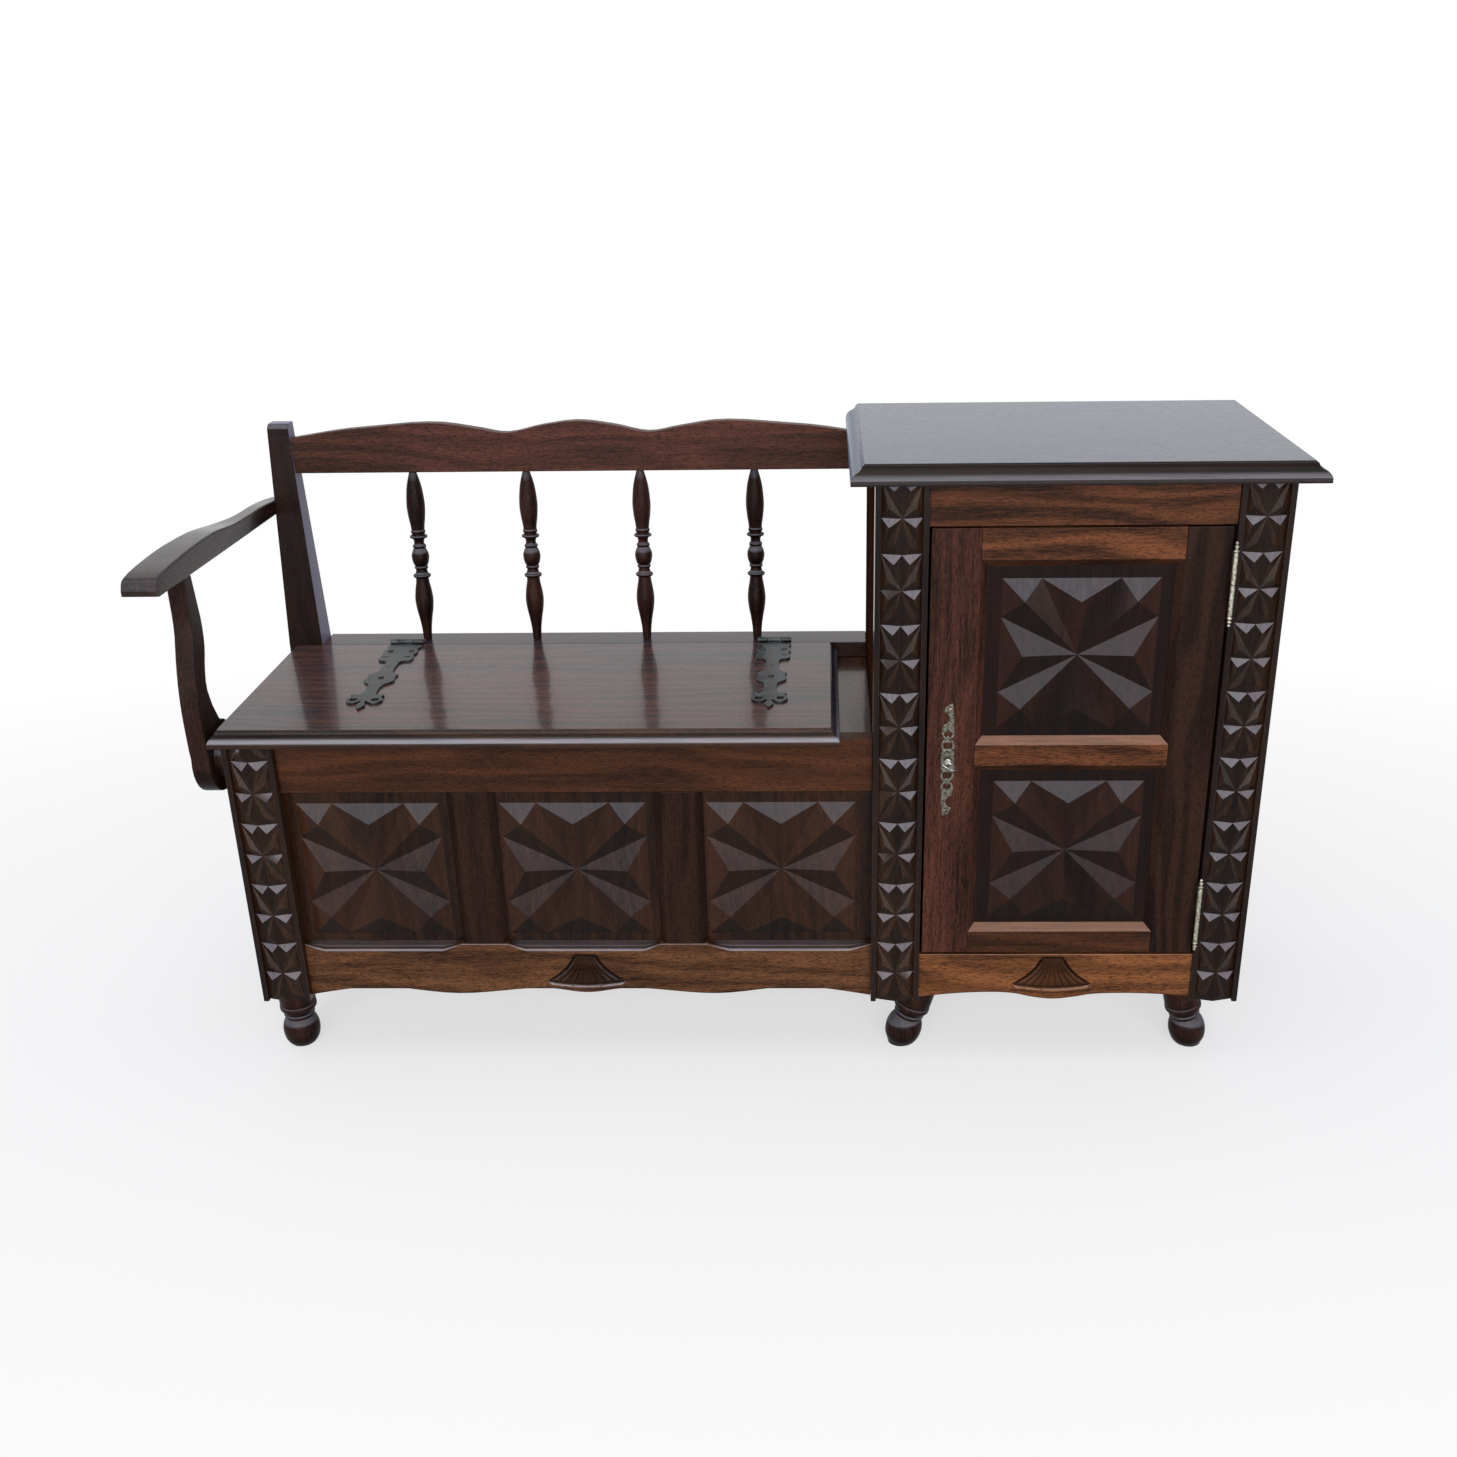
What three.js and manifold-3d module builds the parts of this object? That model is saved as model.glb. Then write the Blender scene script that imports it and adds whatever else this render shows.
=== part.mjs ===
// Telephone bench: a chest seat with a hinged lid, a raked spindle back, one arm and a small cabinet.
// Millimetres. X runs from the arm to the cabinet, Y from the front to the back, Z up from the floor.
import * as THREE from 'three';
import { mergeVertices } from 'three/addons/utils/BufferGeometryUtils.js';
import { ConvexGeometry } from 'three/addons/geometries/ConvexGeometry.js';
import Module from 'manifold-3d';

const wasm = await Module();
wasm.setup();

// Clearances
const seam = 0.2; // left open at the shoulder of every wooden joint
const play = 0.3; // round every loose panel and between moving pieces
const overrun = 3; // how far a cutter passes the wood it cuts
const bite = 2; // how far an added lip or carving starts inside its board

// Heights and main widths
const legHeight = 93; // floor to the underside of the carcass
const chestHeight = 449; // floor to the rim of the chest
const lidThick = 21;
const cabinetHeight = 758; // floor to the underside of the cabinet top
const topThick = 22;
const boardThick = 18;
const carcassDepth = 345;
const postWidth = 60;
const postDepth = 30;
const chestBay = 714;
const cabinetBay = 340;
const stripDepth = 47.5; // the fixed board behind the lid
const seatLevel = chestHeight + lidThick;
const middleX = postWidth + chestBay;
const rightX = middleX + postWidth + cabinetBay;
const carcassWidth = rightX + postWidth;
const stripFront = carcassDepth - stripDepth;
const floorTop = legHeight + boardThick;

// Chip-carved bands on the front posts: rows of facets between crossing ridges
const bandWidth = 47;
const bandDepth = 6.5;
const ridgeDrop = 0.3;
const bandRows = 16;
const shoulderShare = [0.31, 0.26];
const flankShare = [0.19, 0.73];

// Front frame of the chest
const chestInset = 10; // face of the post to face of the rails
const panelDrop = 10; // face of the rails to the ground of the panels
const panelThick = 9.5;
const rebateDepth = 8;
const chestTopRail = 68;
const chestBottomRail = 78; // posts' feet to the top edge of the bottom rail
const muntinWidth = 41;
const muntinChamfer = 10;
const muntinShift = 3;
const chestWaveRise = 15.5;
const chestWaveShares = [[-1.03, 0.06], [-0.75, 1], [-0.457, 0.35], [-0.168, 0.87], [0, 0.45]];
const sillDepth = 12; // worked down from the top edge of the bottom rail in the middle of a bay
const sillEndDepth = 2;
const sillMiddle = 150;

// Star carvings: the star is a square of eight faceted petals
const starRise = 6.5;
const chestStarMargins = [16.3, 14.5]; // ground left beside and above a star inside its opening
const doorStarMargins = [24, 20.5];
const chestStarShift = [-3.5, -4]; // the stars sit this far off the middle of their openings
const doorStarShift = [1.5, -3];
const valleyShare = 0.25;
const petalShare = 0.355;

// Shell carvings on the bottom rails
const shellTopHalf = 12.5;
const shellMiddleHalf = 23;
const shellBaseHalf = 45;
const shellHeight = 35;
const shellSag = 5;
const shellRise = 3;
const shellValley = 0.6;
const shellFlutes = 8;
const shellDrop = 18; // chest rail's top edge to the top of its shell
const cabinetShellDrop = 7;

// Carcass of the chest
const sideThick = 22;
const sideTopRail = 60;
const sideBottomRail = 60;
const sidePanelInset = 10;
const backThick = 12;
const backInset = 4; // back of the carcass to the back of the back boards
const ledgeWidth = 62;
const ledgeThick = 22;

// Lid, measured at its flat top; the moulding flares out below it
const lidLeft = 1;
const lidGap = 49; // right edge of the flat top to the cabinet
const lidFront = -6;
const lidMould = 10;
const mouldShares = [
  [0, 1], [0, 0.93], [0.12, 0.93], [0.22, 0.76], [0.42, 0.64], [0.68, 0.56], [0.9, 0.41], [1, 0.23], [1, 0],
];

// Iron strap hinges of the lid
const strapInsets = [151, 75]; // from the ends of the lid's flat top
const strapHalf = 22.5;
const strapReach = 239; // barrel to tip
const ironThick = 2.5;
const barrelRadius = 3.7;
const barrelRise = 4; // pin above the lid
const strapPinRadius = 1.6;
const strapBore = 2;
const strapKnuckleHalf = 9.5;
const leafDepth = 12;
const strapShares = [
  [1, 0], [1, 0.05], [0.78, 0.08], [1, 0.12], [1, 0.16], [0.68, 0.2], [0.36, 0.22], [0.36, 0.38],
  [0.87, 0.41], [0.87, 0.47], [0.6, 0.495], [0.87, 0.52], [0.87, 0.57], [0.36, 0.6], [0.36, 0.7],
  [0.75, 0.74], [1, 0.79], [0.9, 0.86], [0.62, 0.88], [0.42, 0.84], [0.2, 0.86], [0.24, 0.93], [0, 1],
];

// Back post, crest rail and spindles
const backPostLeft = -9.5;
const backPostWidth = 45;
const backPostTopWidth = 27.5;
const backPostAbove = 4; // top of the post above the cabinet's carcass
const backPostSweep = 33.5; // its front face leans back this far above the seat
const backPostWaist = 7; // hollow of its back face at seat level
const backPostTail = 10; // its top stands this far behind the carcass
const backPostBend = 49; // rim of the chest down to where the back face turns upright
const backPostRound = 9;
const backLean = THREE.MathUtils.degToRad(4);
const backFoot = 24.5; // front of the strip to the foot of the spindles
const crestDrop = 60.5; // top of the cabinet's carcass to the underside of the crest rail
const crestThick = 20;
const crestWave = 65; // height of the crest rail at its middle
const crestShares = [[-1.02, 0.68], [-0.8, 0.87], [-0.52, 0.985], [-0.36, 0.88], [-0.245, 0.775],
  [-0.12, 0.92], [0, 1]];
const spindleCount = 4;
const spindleShift = 2.5; // the row stands this far right of even spacing
const spindleRadius = 12;
const spindleShares = [
  [0, 0.48], [0.09, 0.72], [0.2, 1], [0.3, 0.74], [0.375, 0.5], [0.385, 0.89], [0.405, 0.89], [0.415, 0.5],
  [0.425, 0.65], [0.44, 0.65], [0.45, 0.55], [0.475, 0.85], [0.5, 0.97], [0.525, 0.9], [0.55, 0.6],
  [0.565, 0.72], [0.58, 0.6], [0.595, 0.56], [0.61, 0.95], [0.65, 0.95], [0.665, 0.5], [0.71, 0.62],
  [0.8, 1], [0.89, 0.7], [1, 0.33],
];

// Armrest, in plan and from the side
const armNose = -70;
const armNoseWidth = 40;
const armHeight = 174; // seat to the underside of the arm at the back post
const armNoseRise = 7;
const armThick = 19;
const armCrown = 15.5; // highest part of the top above its back end
const armNoseRound = 3;
const armNoseRun = 10;
const armPlanShares = [[0, 0.97], [0.05, 1], [0.217, 1], [0.4, 0.89], [0.58, 0.76], [0.7, 0.54], [0.8, 0.5],
  [0.94, 0.5], [1, 0.31]];
const armCrownShares = [[0, -0.19], [0.015, 0.45], [0.05, 0.68], [0.1, 0.81], [0.17, 0.9], [0.29, 1],
  [0.41, 0.97], [0.48, 0.84], [0.61, 0.45], [0.75, 0.32], [0.84, 0.26], [0.94, 0.06], [1, 0]];

// Arm support: a curved board with a round foot and a pad against the chest
const supportOuter = 38;
const supportInner = 16;
const supportFootY = 44;
const supportFootDrop = 31; // rim of the chest to the centre of the round foot
const supportFootRadius = 44;
const supportFootAngles = [165, 440].map(THREE.MathUtils.degToRad);
const padRadius = 29;
const supportFrontShares = [[-0.55, 1], [-0.55, 0.81], [-0.61, 0.7], [-0.8, 0.58], [-0.95, 0.45],
  [-1.02, 0.32], [-1.02, 0.2], [-1, 0.1]];
const supportBackShares = [[-0.1, 0.28], [-0.29, 0.4], [-0.17, 0.51], [0.02, 0.6], [0.09, 0.72],
  [0.02, 0.85], [-0.09, 1]];

// Cabinet
const rearPost = 40;
const cabinetInset = 4;
const cabinetTopRail = 52;
const cabinetBottomRail = 66;
const cabinetWaveRise = 11;
const cabinetWaveShares = [[-1.03, 0.27], [-0.75, 0.8], [-0.48, 1], [-0.3, 0.85], [-0.15, 0.35], [0, 0.1],
  [0.15, 0.35], [0.3, 0.75], [0.55, 0.85], [0.8, 0.7], [1.03, 0.3]];
const cabinetShellShift = 3;
const partitionThick = 16;
const shelfLift = 9; // underside of the door's middle rail to the underside of the shelf
const shelfFront = 46;
const topMould = 15;
const topOverhang = 28;
const topFrontOverhang = 26;

// Door
const doorGap = 3; // between the door and the posts and rails round it
const doorTopGap = 2; // and this much above it
const doorThick = 22;
const lockStile = 56;
const hingeStile = 51;
const doorTopRail = 37;
const doorMiddleRail = 27;
const doorBottomRail = 30;
const doorLowerPanel = 224; // height of the lower opening
const lipSize = 9;
const doorPanelThick = 8.5;

// Door hinges: two lift-off halves on one pin
const hingeOut = 5; // pin in front of the posts
const hingeHigh = 100;
const hingeInsets = [14, 8]; // from the top and the bottom of the door
const knuckleRadius = 4;
const pinRadius = 2;
const pinBore = 2.4;
const pinReach = 32;
const finialRadius = 3;
const leafThick = 1.2;
const leafTrim = 4;
const finialLength = 14;
const finialShares = [[0, 1], [0.6, 0.97], [1, 0.79], [0.6, 0.58], [1, 0.36], [0.65, 0.13], [0.65, 0]];

// Lock
const keyInset = 25; // edge of the door to the key
const keyLift = 8; // underside of the middle rail to the key
const keyRadius = 2.5;
const keyHole = 4;
const plateHole = 3;
const plateHalf = 8;
const plateLength = 145;
const plateThick = 1.5;
const plateShares = [[0.12, 1], [0.4, 0.97], [0.4, 0.91], [0.18, 0.87], [0.55, 0.79], [0.6, 0.68],
  [0.28, 0.6], [0.95, 0.47], [1, 0.3], [0.45, 0.22], [0.62, 0.14], [0.62, 0]];
const caseWidth = 50;
const caseHigh = 60;
const caseDeep = 14;
const caseWall = 3;
const boltHigh = 10;
const boltThick = 6;
const boltDrop = 22; // key to the underside of the bolt
const boltLength = 36;
const boltNotch = 8;
const boltNotchDeep = 3;
const boltTravel = 12; // thrown by a quarter turn of the key
const bowRadius = 11;
const bowRing = 3;
const bowThick = 2.6;
const bowOut = 16; // front of the door to the middle of the bow
const keyTilt = THREE.MathUtils.degToRad(26);
const bitReach = 13;
const bitWidth = 5;
const bitThick = 2.5;
const keyEnd = 36; // inner end of the key behind the plane of the posts

// Turned feet under the front posts
const footY = 53;
const footStub = 12; // the turning runs on past both cut ends
const footRadius = 23.5;
const footInsets = [22, 53, 9.5]; // from the left faces of the posts
const footLeans = [0, 17, -12.8].map(THREE.MathUtils.degToRad);
const footShares = [[0.45, 0], [0.8, 0.05], [0.98, 0.15], [1, 0.22], [0.9, 0.33], [0.76, 0.4], [0.8, 0.48],
  [0.98, 0.55], [1, 0.62], [0.92, 0.66], [0.98, 0.7], [0.98, 1]];

// Places worked out from the sizes above
const chestBottomTop = legHeight + chestBottomRail;
const chestRailLow = chestHeight - chestTopRail;
const lidRight = middleX - lidGap;
const strapCentres = [lidLeft + strapInsets[0], lidRight - strapInsets[1]];
const backPostTop = cabinetHeight + backPostAbove;
const backPostRight = backPostLeft + backPostWidth;
const armBackUnder = seatLevel + armHeight;
const supportFootZ = chestHeight - supportFootDrop;
const cabinetBottomTop = legHeight + cabinetBottomRail;
const doorLeft = middleX + postWidth + doorGap;
const doorRight = rightX - doorGap;
const doorLow = cabinetBottomTop + doorGap;
const doorHigh = cabinetHeight - cabinetTopRail - doorTopGap;
const doorMiddleLow = doorLow + doorBottomRail + doorLowerPanel;
const shelfLevel = doorMiddleLow + shelfLift;
const hingeLows = [doorHigh - hingeInsets[0] - hingeHigh, doorLow + hingeInsets[1]];
const keyX = doorLeft + keyInset;
const keyZ = doorMiddleLow + keyLift;
const footXs = [footInsets[0], middleX + footInsets[1], rightX + footInsets[2]];

const black = 0x1b1b1d;
const brass = 0x9a8a6a;
const darkWood = 0x33231c;
const warmWood = 0x4f3020;
const redWood = 0x4a2c24;

const wood = (color) => new THREE.MeshStandardMaterial({ color, roughness: 0.32, metalness: 0 });
const metal = (color) => new THREE.MeshStandardMaterial({ color, roughness: 0.45, metalness: 0.9 });

const across = new THREE.Vector3(1, 0, 0);
const back = new THREE.Vector3(0, 1, 0);
const front = new THREE.Vector3(0, -1, 0);
const up = new THREE.Vector3(0, 0, 1);
const planes = {
  x: new THREE.Matrix4().makeBasis(back, up, across),
  y: new THREE.Matrix4().makeBasis(across, up, front),
  z: new THREE.Matrix4(),
};

function toSolid(geometry) {
  const bare = geometry.clone();
  bare.deleteAttribute('normal');
  bare.deleteAttribute('uv');
  const merged = mergeVertices(bare);
  const vertProperties = new Float32Array(merged.attributes.position.array);
  const corners = merged.index.array;
  const kept = [];
  for (let i = 0; i < corners.length; i += 3) {
    const [a, b, c] = corners.subarray(i, i + 3);
    if (a !== b && b !== c && c !== a) kept.push(a, b, c);
  }
  const triVerts = new Uint32Array(kept);
  return new wasm.Manifold(new wasm.Mesh({ numProp: 3, vertProperties, triVerts }));
}

function toGeometry(solid) {
  const mesh = solid.getMesh();
  const geometry = new THREE.BufferGeometry();
  geometry.setAttribute('position', new THREE.BufferAttribute(mesh.vertProperties, 3));
  geometry.setIndex(new THREE.BufferAttribute(mesh.triVerts, 1));
  geometry.computeVertexNormals();
  return geometry;
}

function add(group, name, material, shape) {
  const mesh = new THREE.Mesh(shape.isBufferGeometry ? shape : toGeometry(shape), material);
  mesh.name = name;
  group.add(mesh);
  return mesh;
}

// A box between three pairs of limits
function box([x0, x1], [y0, y1], [z0, z1]) {
  const geometry = new THREE.BoxGeometry(x1 - x0, y1 - y0, z1 - z0);
  return toSolid(geometry.translate((x0 + x1) / 2, (y0 + y1) / 2, (z0 + z1) / 2));
}

// An outline in the plane square to an axis, carried along that axis between two limits
function extruded(axis, outline, [from, to], holes = []) {
  const shape = new THREE.Shape(outline.map(([a, b]) => new THREE.Vector2(a, b)));
  shape.holes = holes;
  const geometry = new THREE.ExtrudeGeometry(shape, { depth: to - from, bevelEnabled: false });
  geometry.applyMatrix4(planes[axis]);
  const start = { x: [from, 0, 0], y: [0, to, 0], z: [0, 0, from] }[axis];
  return toSolid(geometry.translate(...start));
}

// A round bar along an axis through a point of the plane square to it
function bar(axis, [a, b], radius, [from, to], sides = 12) {
  const circle = new THREE.Path().absarc(a, b, radius, 0, 2 * Math.PI).getSpacedPoints(sides);
  const outline = circle.slice(0, sides).map((p) => [p.x, p.y]);
  return extruded(axis, outline, [from, to]);
}

// Points of a smooth curve through a few places
function smooth(places, steps) {
  const curve = new THREE.SplineCurve(places.map(([a, b]) => new THREE.Vector2(a, b)));
  return curve.getPoints(steps).map((p) => [p.x, p.y]);
}

// A body turned from [radius, height] pairs that start and end on the axis
function turned(profile, sides) {
  const points = profile.map(([radius, height]) => new THREE.Vector2(radius, height));
  return new THREE.LatheGeometry(points, sides).rotateX(Math.PI / 2);
}

// The closed solid between a sheet of facets and an upright plane parallel to the front
function relief(facets, level) {
  const facing = level > facets[0][0].y ? -1 : 1;
  const edges = new Map();
  const triangles = [];
  const flat = (p) => new THREE.Vector3(p.x, level, p.z);
  const name = (p) => `${Math.fround(p.x)},${Math.fround(p.z)}`;
  for (const facet of facets) {
    const normal = new THREE.Triangle(...facet).getNormal(new THREE.Vector3());
    const [a, b, c] = normal.y * facing > 0 ? facet : [facet[0], facet[2], facet[1]];
    triangles.push(a, b, c, flat(a), flat(c), flat(b));
    for (const [p, q] of [[a, b], [b, c], [c, a]]) {
      if (!edges.delete(`${name(q)} ${name(p)}`)) edges.set(`${name(p)} ${name(q)}`, [p, q]);
    }
  }
  for (const [p, q] of edges.values()) {
    triangles.push(q, p, flat(p), q, flat(p), flat(q));
  }
  return toSolid(new THREE.BufferGeometry().setFromPoints(triangles));
}

const grown = ([from, to], by) => [from - by, to + by];
const mirrored = (places) => [...places, ...places.slice(0, -1).reverse().map(([a, b]) => [-a, b])];

// One row of a carved band, from its wide knots up to its crossing, on one side of the middle
const rowFacets = (() => {
  const low = { knot: [0, 0, 0], edge: [0.5, 0, 1] };
  const high = { knot: [0, 1, 0], edge: [0.5, 1, 1] };
  const shoulder = [...shoulderShare, 0];
  const flank = [...flankShare, 0];
  return [
    [low.knot, low.edge, shoulder],
    [low.knot, shoulder, high.edge],
    [low.edge, high.edge, shoulder],
    [low.knot, high.edge, flank],
    [high.edge, high.knot, flank],
    [low.knot, flank, high.knot],
  ];
})();

// What the carver takes off the face of a front post
function bandCutter(left) {
  const rowHeight = (cabinetHeight - legHeight) / bandRows;
  const facets = [];
  for (let row = -1; row <= bandRows; row += 1) {
    const upsideDown = row % 2 === 0;
    for (const side of [-1, 1]) {
      for (const facet of rowFacets) {
        facets.push(facet.map(([u, v, deep]) => new THREE.Vector3(
          left + postWidth / 2 + side * u * bandWidth,
          deep ? bandDepth : ridgeDrop,
          legHeight + (row + (upsideDown ? 1 - v : v)) * rowHeight,
        )));
      }
    }
  }
  return relief(facets, -overrun);
}

const panelFront = chestInset + panelDrop;
const panelLevels = [chestBottomTop - rebateDepth, chestRailLow + rebateDepth];
const rebateY = [panelFront, postDepth + overrun];

function carvedPost(left, height, rebates = []) {
  let post = box([left, left + postWidth], [0, postDepth], [legHeight, height]).subtract(bandCutter(left));
  for (const x of rebates) post = post.subtract(box(x, rebateY, panelLevels));
  return post;
}

// A panel whose face is a star of eight petals on a flat ground
function starPanel([x0, x1], [z0, z1], [faceY, backY], opening, margins, shift) {
  const [starWidth, starHeight] = opening.map(([from, to], i) => to - from - 2 * margins[i]);
  const [starX, starZ] = opening.map(([from, to], i) => (from + to) / 2 + shift[i]);
  const at = (u, v, rise = 0) => (
    new THREE.Vector3(starX + u * starWidth, faceY - rise, starZ + v * starHeight));
  const corner = [[x0, z0], [x1, z0], [x1, z1], [x0, z1]].map(([x, z]) => new THREE.Vector3(x, faceY, z));
  const facets = [];
  for (let side = 0; side < 4; side += 1) {
    const turn = (u, v, rise) => {
      const [c, s] = [[1, 0], [0, 1], [-1, 0], [0, -1]][side];
      return at(c * u - s * v, s * u + c * v, rise);
    };
    const middle = turn(0, 0);
    const [v1, v2] = [turn(-valleyShare, -0.5), turn(valleyShare, -0.5)];
    const v3 = turn(0.5, -valleyShare);
    const [k1, k2] = [turn(-0.5, -0.5), turn(0.5, -0.5)];
    const straight = turn(0, -petalShare, starRise);
    const diagonal = turn(petalShare, -petalShare, starRise);
    facets.push([middle, v1, straight], [middle, straight, v2], [straight, v1, v2]);
    facets.push([middle, v2, diagonal], [middle, diagonal, v3], [diagonal, v2, k2], [diagonal, k2, v3]);
    const [start, end] = [corner[side], corner[(side + 1) % 4]];
    facets.push([start, k1, v1], [start, v1, v2], [start, v2, end], [end, v2, k2]);
  }
  return relief(facets, backY);
}

// A fluted fan that narrows upwards and ends in a sagging arc
function shell(centreX, topZ, faceY) {
  const halves = [shellTopHalf, shellMiddleHalf, shellBaseHalf];
  const lines = 2 * shellFlutes;
  const at = (line, row) => {
    const spread = (2 * line) / lines - 1;
    const fall = row / (halves.length - 1);
    return new THREE.Vector3(
      centreX + spread * halves[row],
      faceY - (line % 2 ? shellRise : shellValley),
      topZ - fall * (shellHeight + shellSag * (1 - spread * spread)),
    );
  };
  const facets = [];
  for (let row = 0; row + 1 < halves.length; row += 1) {
    for (let line = 0; line < lines; line += 1) {
      const [a, b, c, d] = [at(line, row), at(line + 1, row), at(line + 1, row + 1), at(line, row + 1)];
      if (line % 2) facets.push([a, b, c], [a, c, d]);
      else facets.push([a, b, d], [b, c, d]);
    }
  }
  return relief(facets, faceY + bite);
}

// A slab with the same moulding on its front and on the chosen ends, square at the back
function mouldedSlab([x0, x1], [y0, y1], [z0, z1], mould) {
  const rows = mouldShares.map(([out, high]) => [out * mould, z0 + high * (z1 - z0)]);
  const rightEnd = rows.map(([out, z]) => [x1 + out, z]);
  const ends = [...rightEnd, ...rows.reverse().map(([out, z]) => [x0 - out, z])];
  const faces = [...rows.map(([out, z]) => [y0 - out, z]), [y1, z1], [y1, z0]];
  const long = extruded('x', faces, grown([x0, x1], mould + overrun));
  const deep = extruded('y', ends, [y0 - mould - overrun, y1 + overrun]);
  return long.intersect(deep);
}

// The hollow that a worked sill leaves along the top front edge of the bottom rail
function sillCutter([x0, x1], topZ, faceY, backY) {
  const middle = (x0 + x1) / 2;
  const line = [
    [x0, topZ - sillEndDepth], [middle - sillMiddle / 2, topZ - sillDepth],
    [middle + sillMiddle / 2, topZ - sillDepth], [x1, topZ - sillEndDepth],
  ];
  const points = [];
  for (const y of [faceY, faceY - overrun]) {
    points.push(...line.map(([x, z]) => new THREE.Vector3(x, y, z)));
  }
  for (const x of [x0, x1]) {
    points.push(new THREE.Vector3(x, backY, topZ), new THREE.Vector3(x, backY, topZ + overrun));
    points.push(new THREE.Vector3(x, faceY - overrun, topZ + overrun));
  }
  return toSolid(new ConvexGeometry(points));
}

const bench = new THREE.Group();
bench.name = 'telephone_bench';
const leftEnd = backPostLeft - armNoseWidth;
const rightEnd = carcassWidth + topOverhang;
bench.position.set(-(leftEnd + rightEnd) / 2, -(armNose + carcassDepth + backPostTail) / 2, 0);

function subgroup() {
  const group = new THREE.Group();
  bench.add(group);
  return group;
}

function frontPosts() {
  const group = subgroup();
  const lefts = [0, middleX, rightX];
  const heights = [chestHeight, cabinetHeight, cabinetHeight];
  const rebates = [
    [[postWidth - rebateDepth, postWidth + overrun]], [[middleX - overrun, middleX + rebateDepth]], [],
  ];
  ['left', 'middle', 'right'].forEach((side, i) => {
    add(group, `front_post_${side}`, wood(darkWood), carvedPost(lefts[i], heights[i], rebates[i]));
  });
}

// The feet were turned upright and two of them stand splayed, so each is cut flat at both ends
function feet() {
  const group = subgroup();
  const profile = footShares.map(([r, h]) => [r * footRadius, h * legHeight]);
  const [low, high] = [profile[0], profile.at(-1)];
  const [under, over] = [-footStub, legHeight + footStub];
  const long = [[0, under], [low[0], under], ...profile, [high[0], over], [0, over]];
  ['left', 'middle', 'right'].forEach((side, i) => {
    const solid = turned(long, 20);
    solid.translate(0, 0, -legHeight / 2).rotateY(footLeans[i]).translate(footXs[i], footY, legHeight / 2);
    const slab = box(grown([footXs[i], footXs[i]], 2 * footRadius), grown([footY, footY], 2 * footRadius),
      [0, legHeight - seam]);
    add(group, `foot_${side}`, wood(darkWood), toSolid(solid).intersect(slab));
  });
}

const chestMiddle = postWidth + chestBay / 2 - muntinShift;
const muntinSpacing = (chestBay + muntinWidth) / 3;
const muntinXs = [chestMiddle - muntinSpacing / 2, chestMiddle + muntinSpacing / 2];
const muntinFoot = muntinWidth / 2 + muntinChamfer;
const chestBays = [
  [postWidth, muntinXs[0] - muntinFoot],
  [muntinXs[0] + muntinFoot, muntinXs[1] - muntinFoot],
  [muntinXs[1] + muntinFoot, middleX],
];

// A rail whose lower edge is a smooth wave, cut off square between two posts
function wavyRail([x0, x1], [y0, y1], [z0, z1], centre, half, rise, shares) {
  const places = shares.map(([along, high]) => [centre + along * half, z0 + high * rise]);
  const wave = smooth(places, 4 * (places.length - 1));
  const outline = [...wave, [wave.at(-1)[0], z1], [wave[0][0], z1]];
  const bay = box([x0, x1], grown([y0, y1], overrun), grown([z0, z1], overrun));
  return extruded('y', outline, [y0, y1]).intersect(bay);
}

function chestFront() {
  const group = subgroup();
  const railX = [postWidth + seam, middleX - seam];
  const railY = [chestInset, postDepth];
  const topRebate = box(grown(railX, overrun), rebateY, [chestRailLow - overrun, panelLevels[1]]);
  const topRail = box(railX, railY, [chestRailLow, chestHeight]).subtract(topRebate);
  add(group, 'chest_top_rail', wood(warmWood), topRail);

  const lowRebate = box(grown(railX, overrun), rebateY, [panelLevels[0], chestBottomTop + overrun]);
  let bottomRail = wavyRail(railX, railY, [legHeight, chestBottomTop], chestMiddle, chestBay / 2,
    chestWaveRise, mirrored(chestWaveShares)).subtract(lowRebate);
  for (const bay of chestBays) {
    bottomRail = bottomRail.subtract(sillCutter(bay, chestBottomTop, chestInset, panelFront));
  }
  bottomRail = bottomRail.add(shell(chestMiddle, chestBottomTop - shellDrop, chestInset));
  add(group, 'chest_bottom_rail', wood(warmWood), bottomRail);

  const half = muntinWidth / 2;
  const tongue = muntinFoot - rebateDepth;
  const muntinShape = [
    [half, chestInset], [muntinFoot, panelFront], [tongue, panelFront], [tongue, postDepth],
  ];
  ['left', 'right'].forEach((side, i) => {
    const right = muntinShape.map(([x, y]) => [muntinXs[i] + x, y]);
    const left = muntinShape.map(([x, y]) => [muntinXs[i] - x, y]).reverse();
    const muntin = extruded('z', [...right, ...left], [chestBottomTop + seam, chestRailLow - seam]);
    add(group, `chest_muntin_${side}`, wood(darkWood), muntin);
  });

  const flats = [
    [postWidth, muntinXs[0] - half],
    [muntinXs[0] + half, muntinXs[1] - half],
    [muntinXs[1] + half, middleX],
  ];
  ['left', 'middle', 'right'].forEach((side, i) => {
    const faceY = panelFront + seam;
    const opening = [flats[i], [chestBottomTop, chestRailLow]];
    const panel = starPanel(grown(chestBays[i], rebateDepth - play), grown(panelLevels, -play),
      [faceY, faceY + panelThick], opening, chestStarMargins, chestStarShift);
    add(group, `chest_panel_${side}`, wood(darkWood), panel);
  });
}

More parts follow.
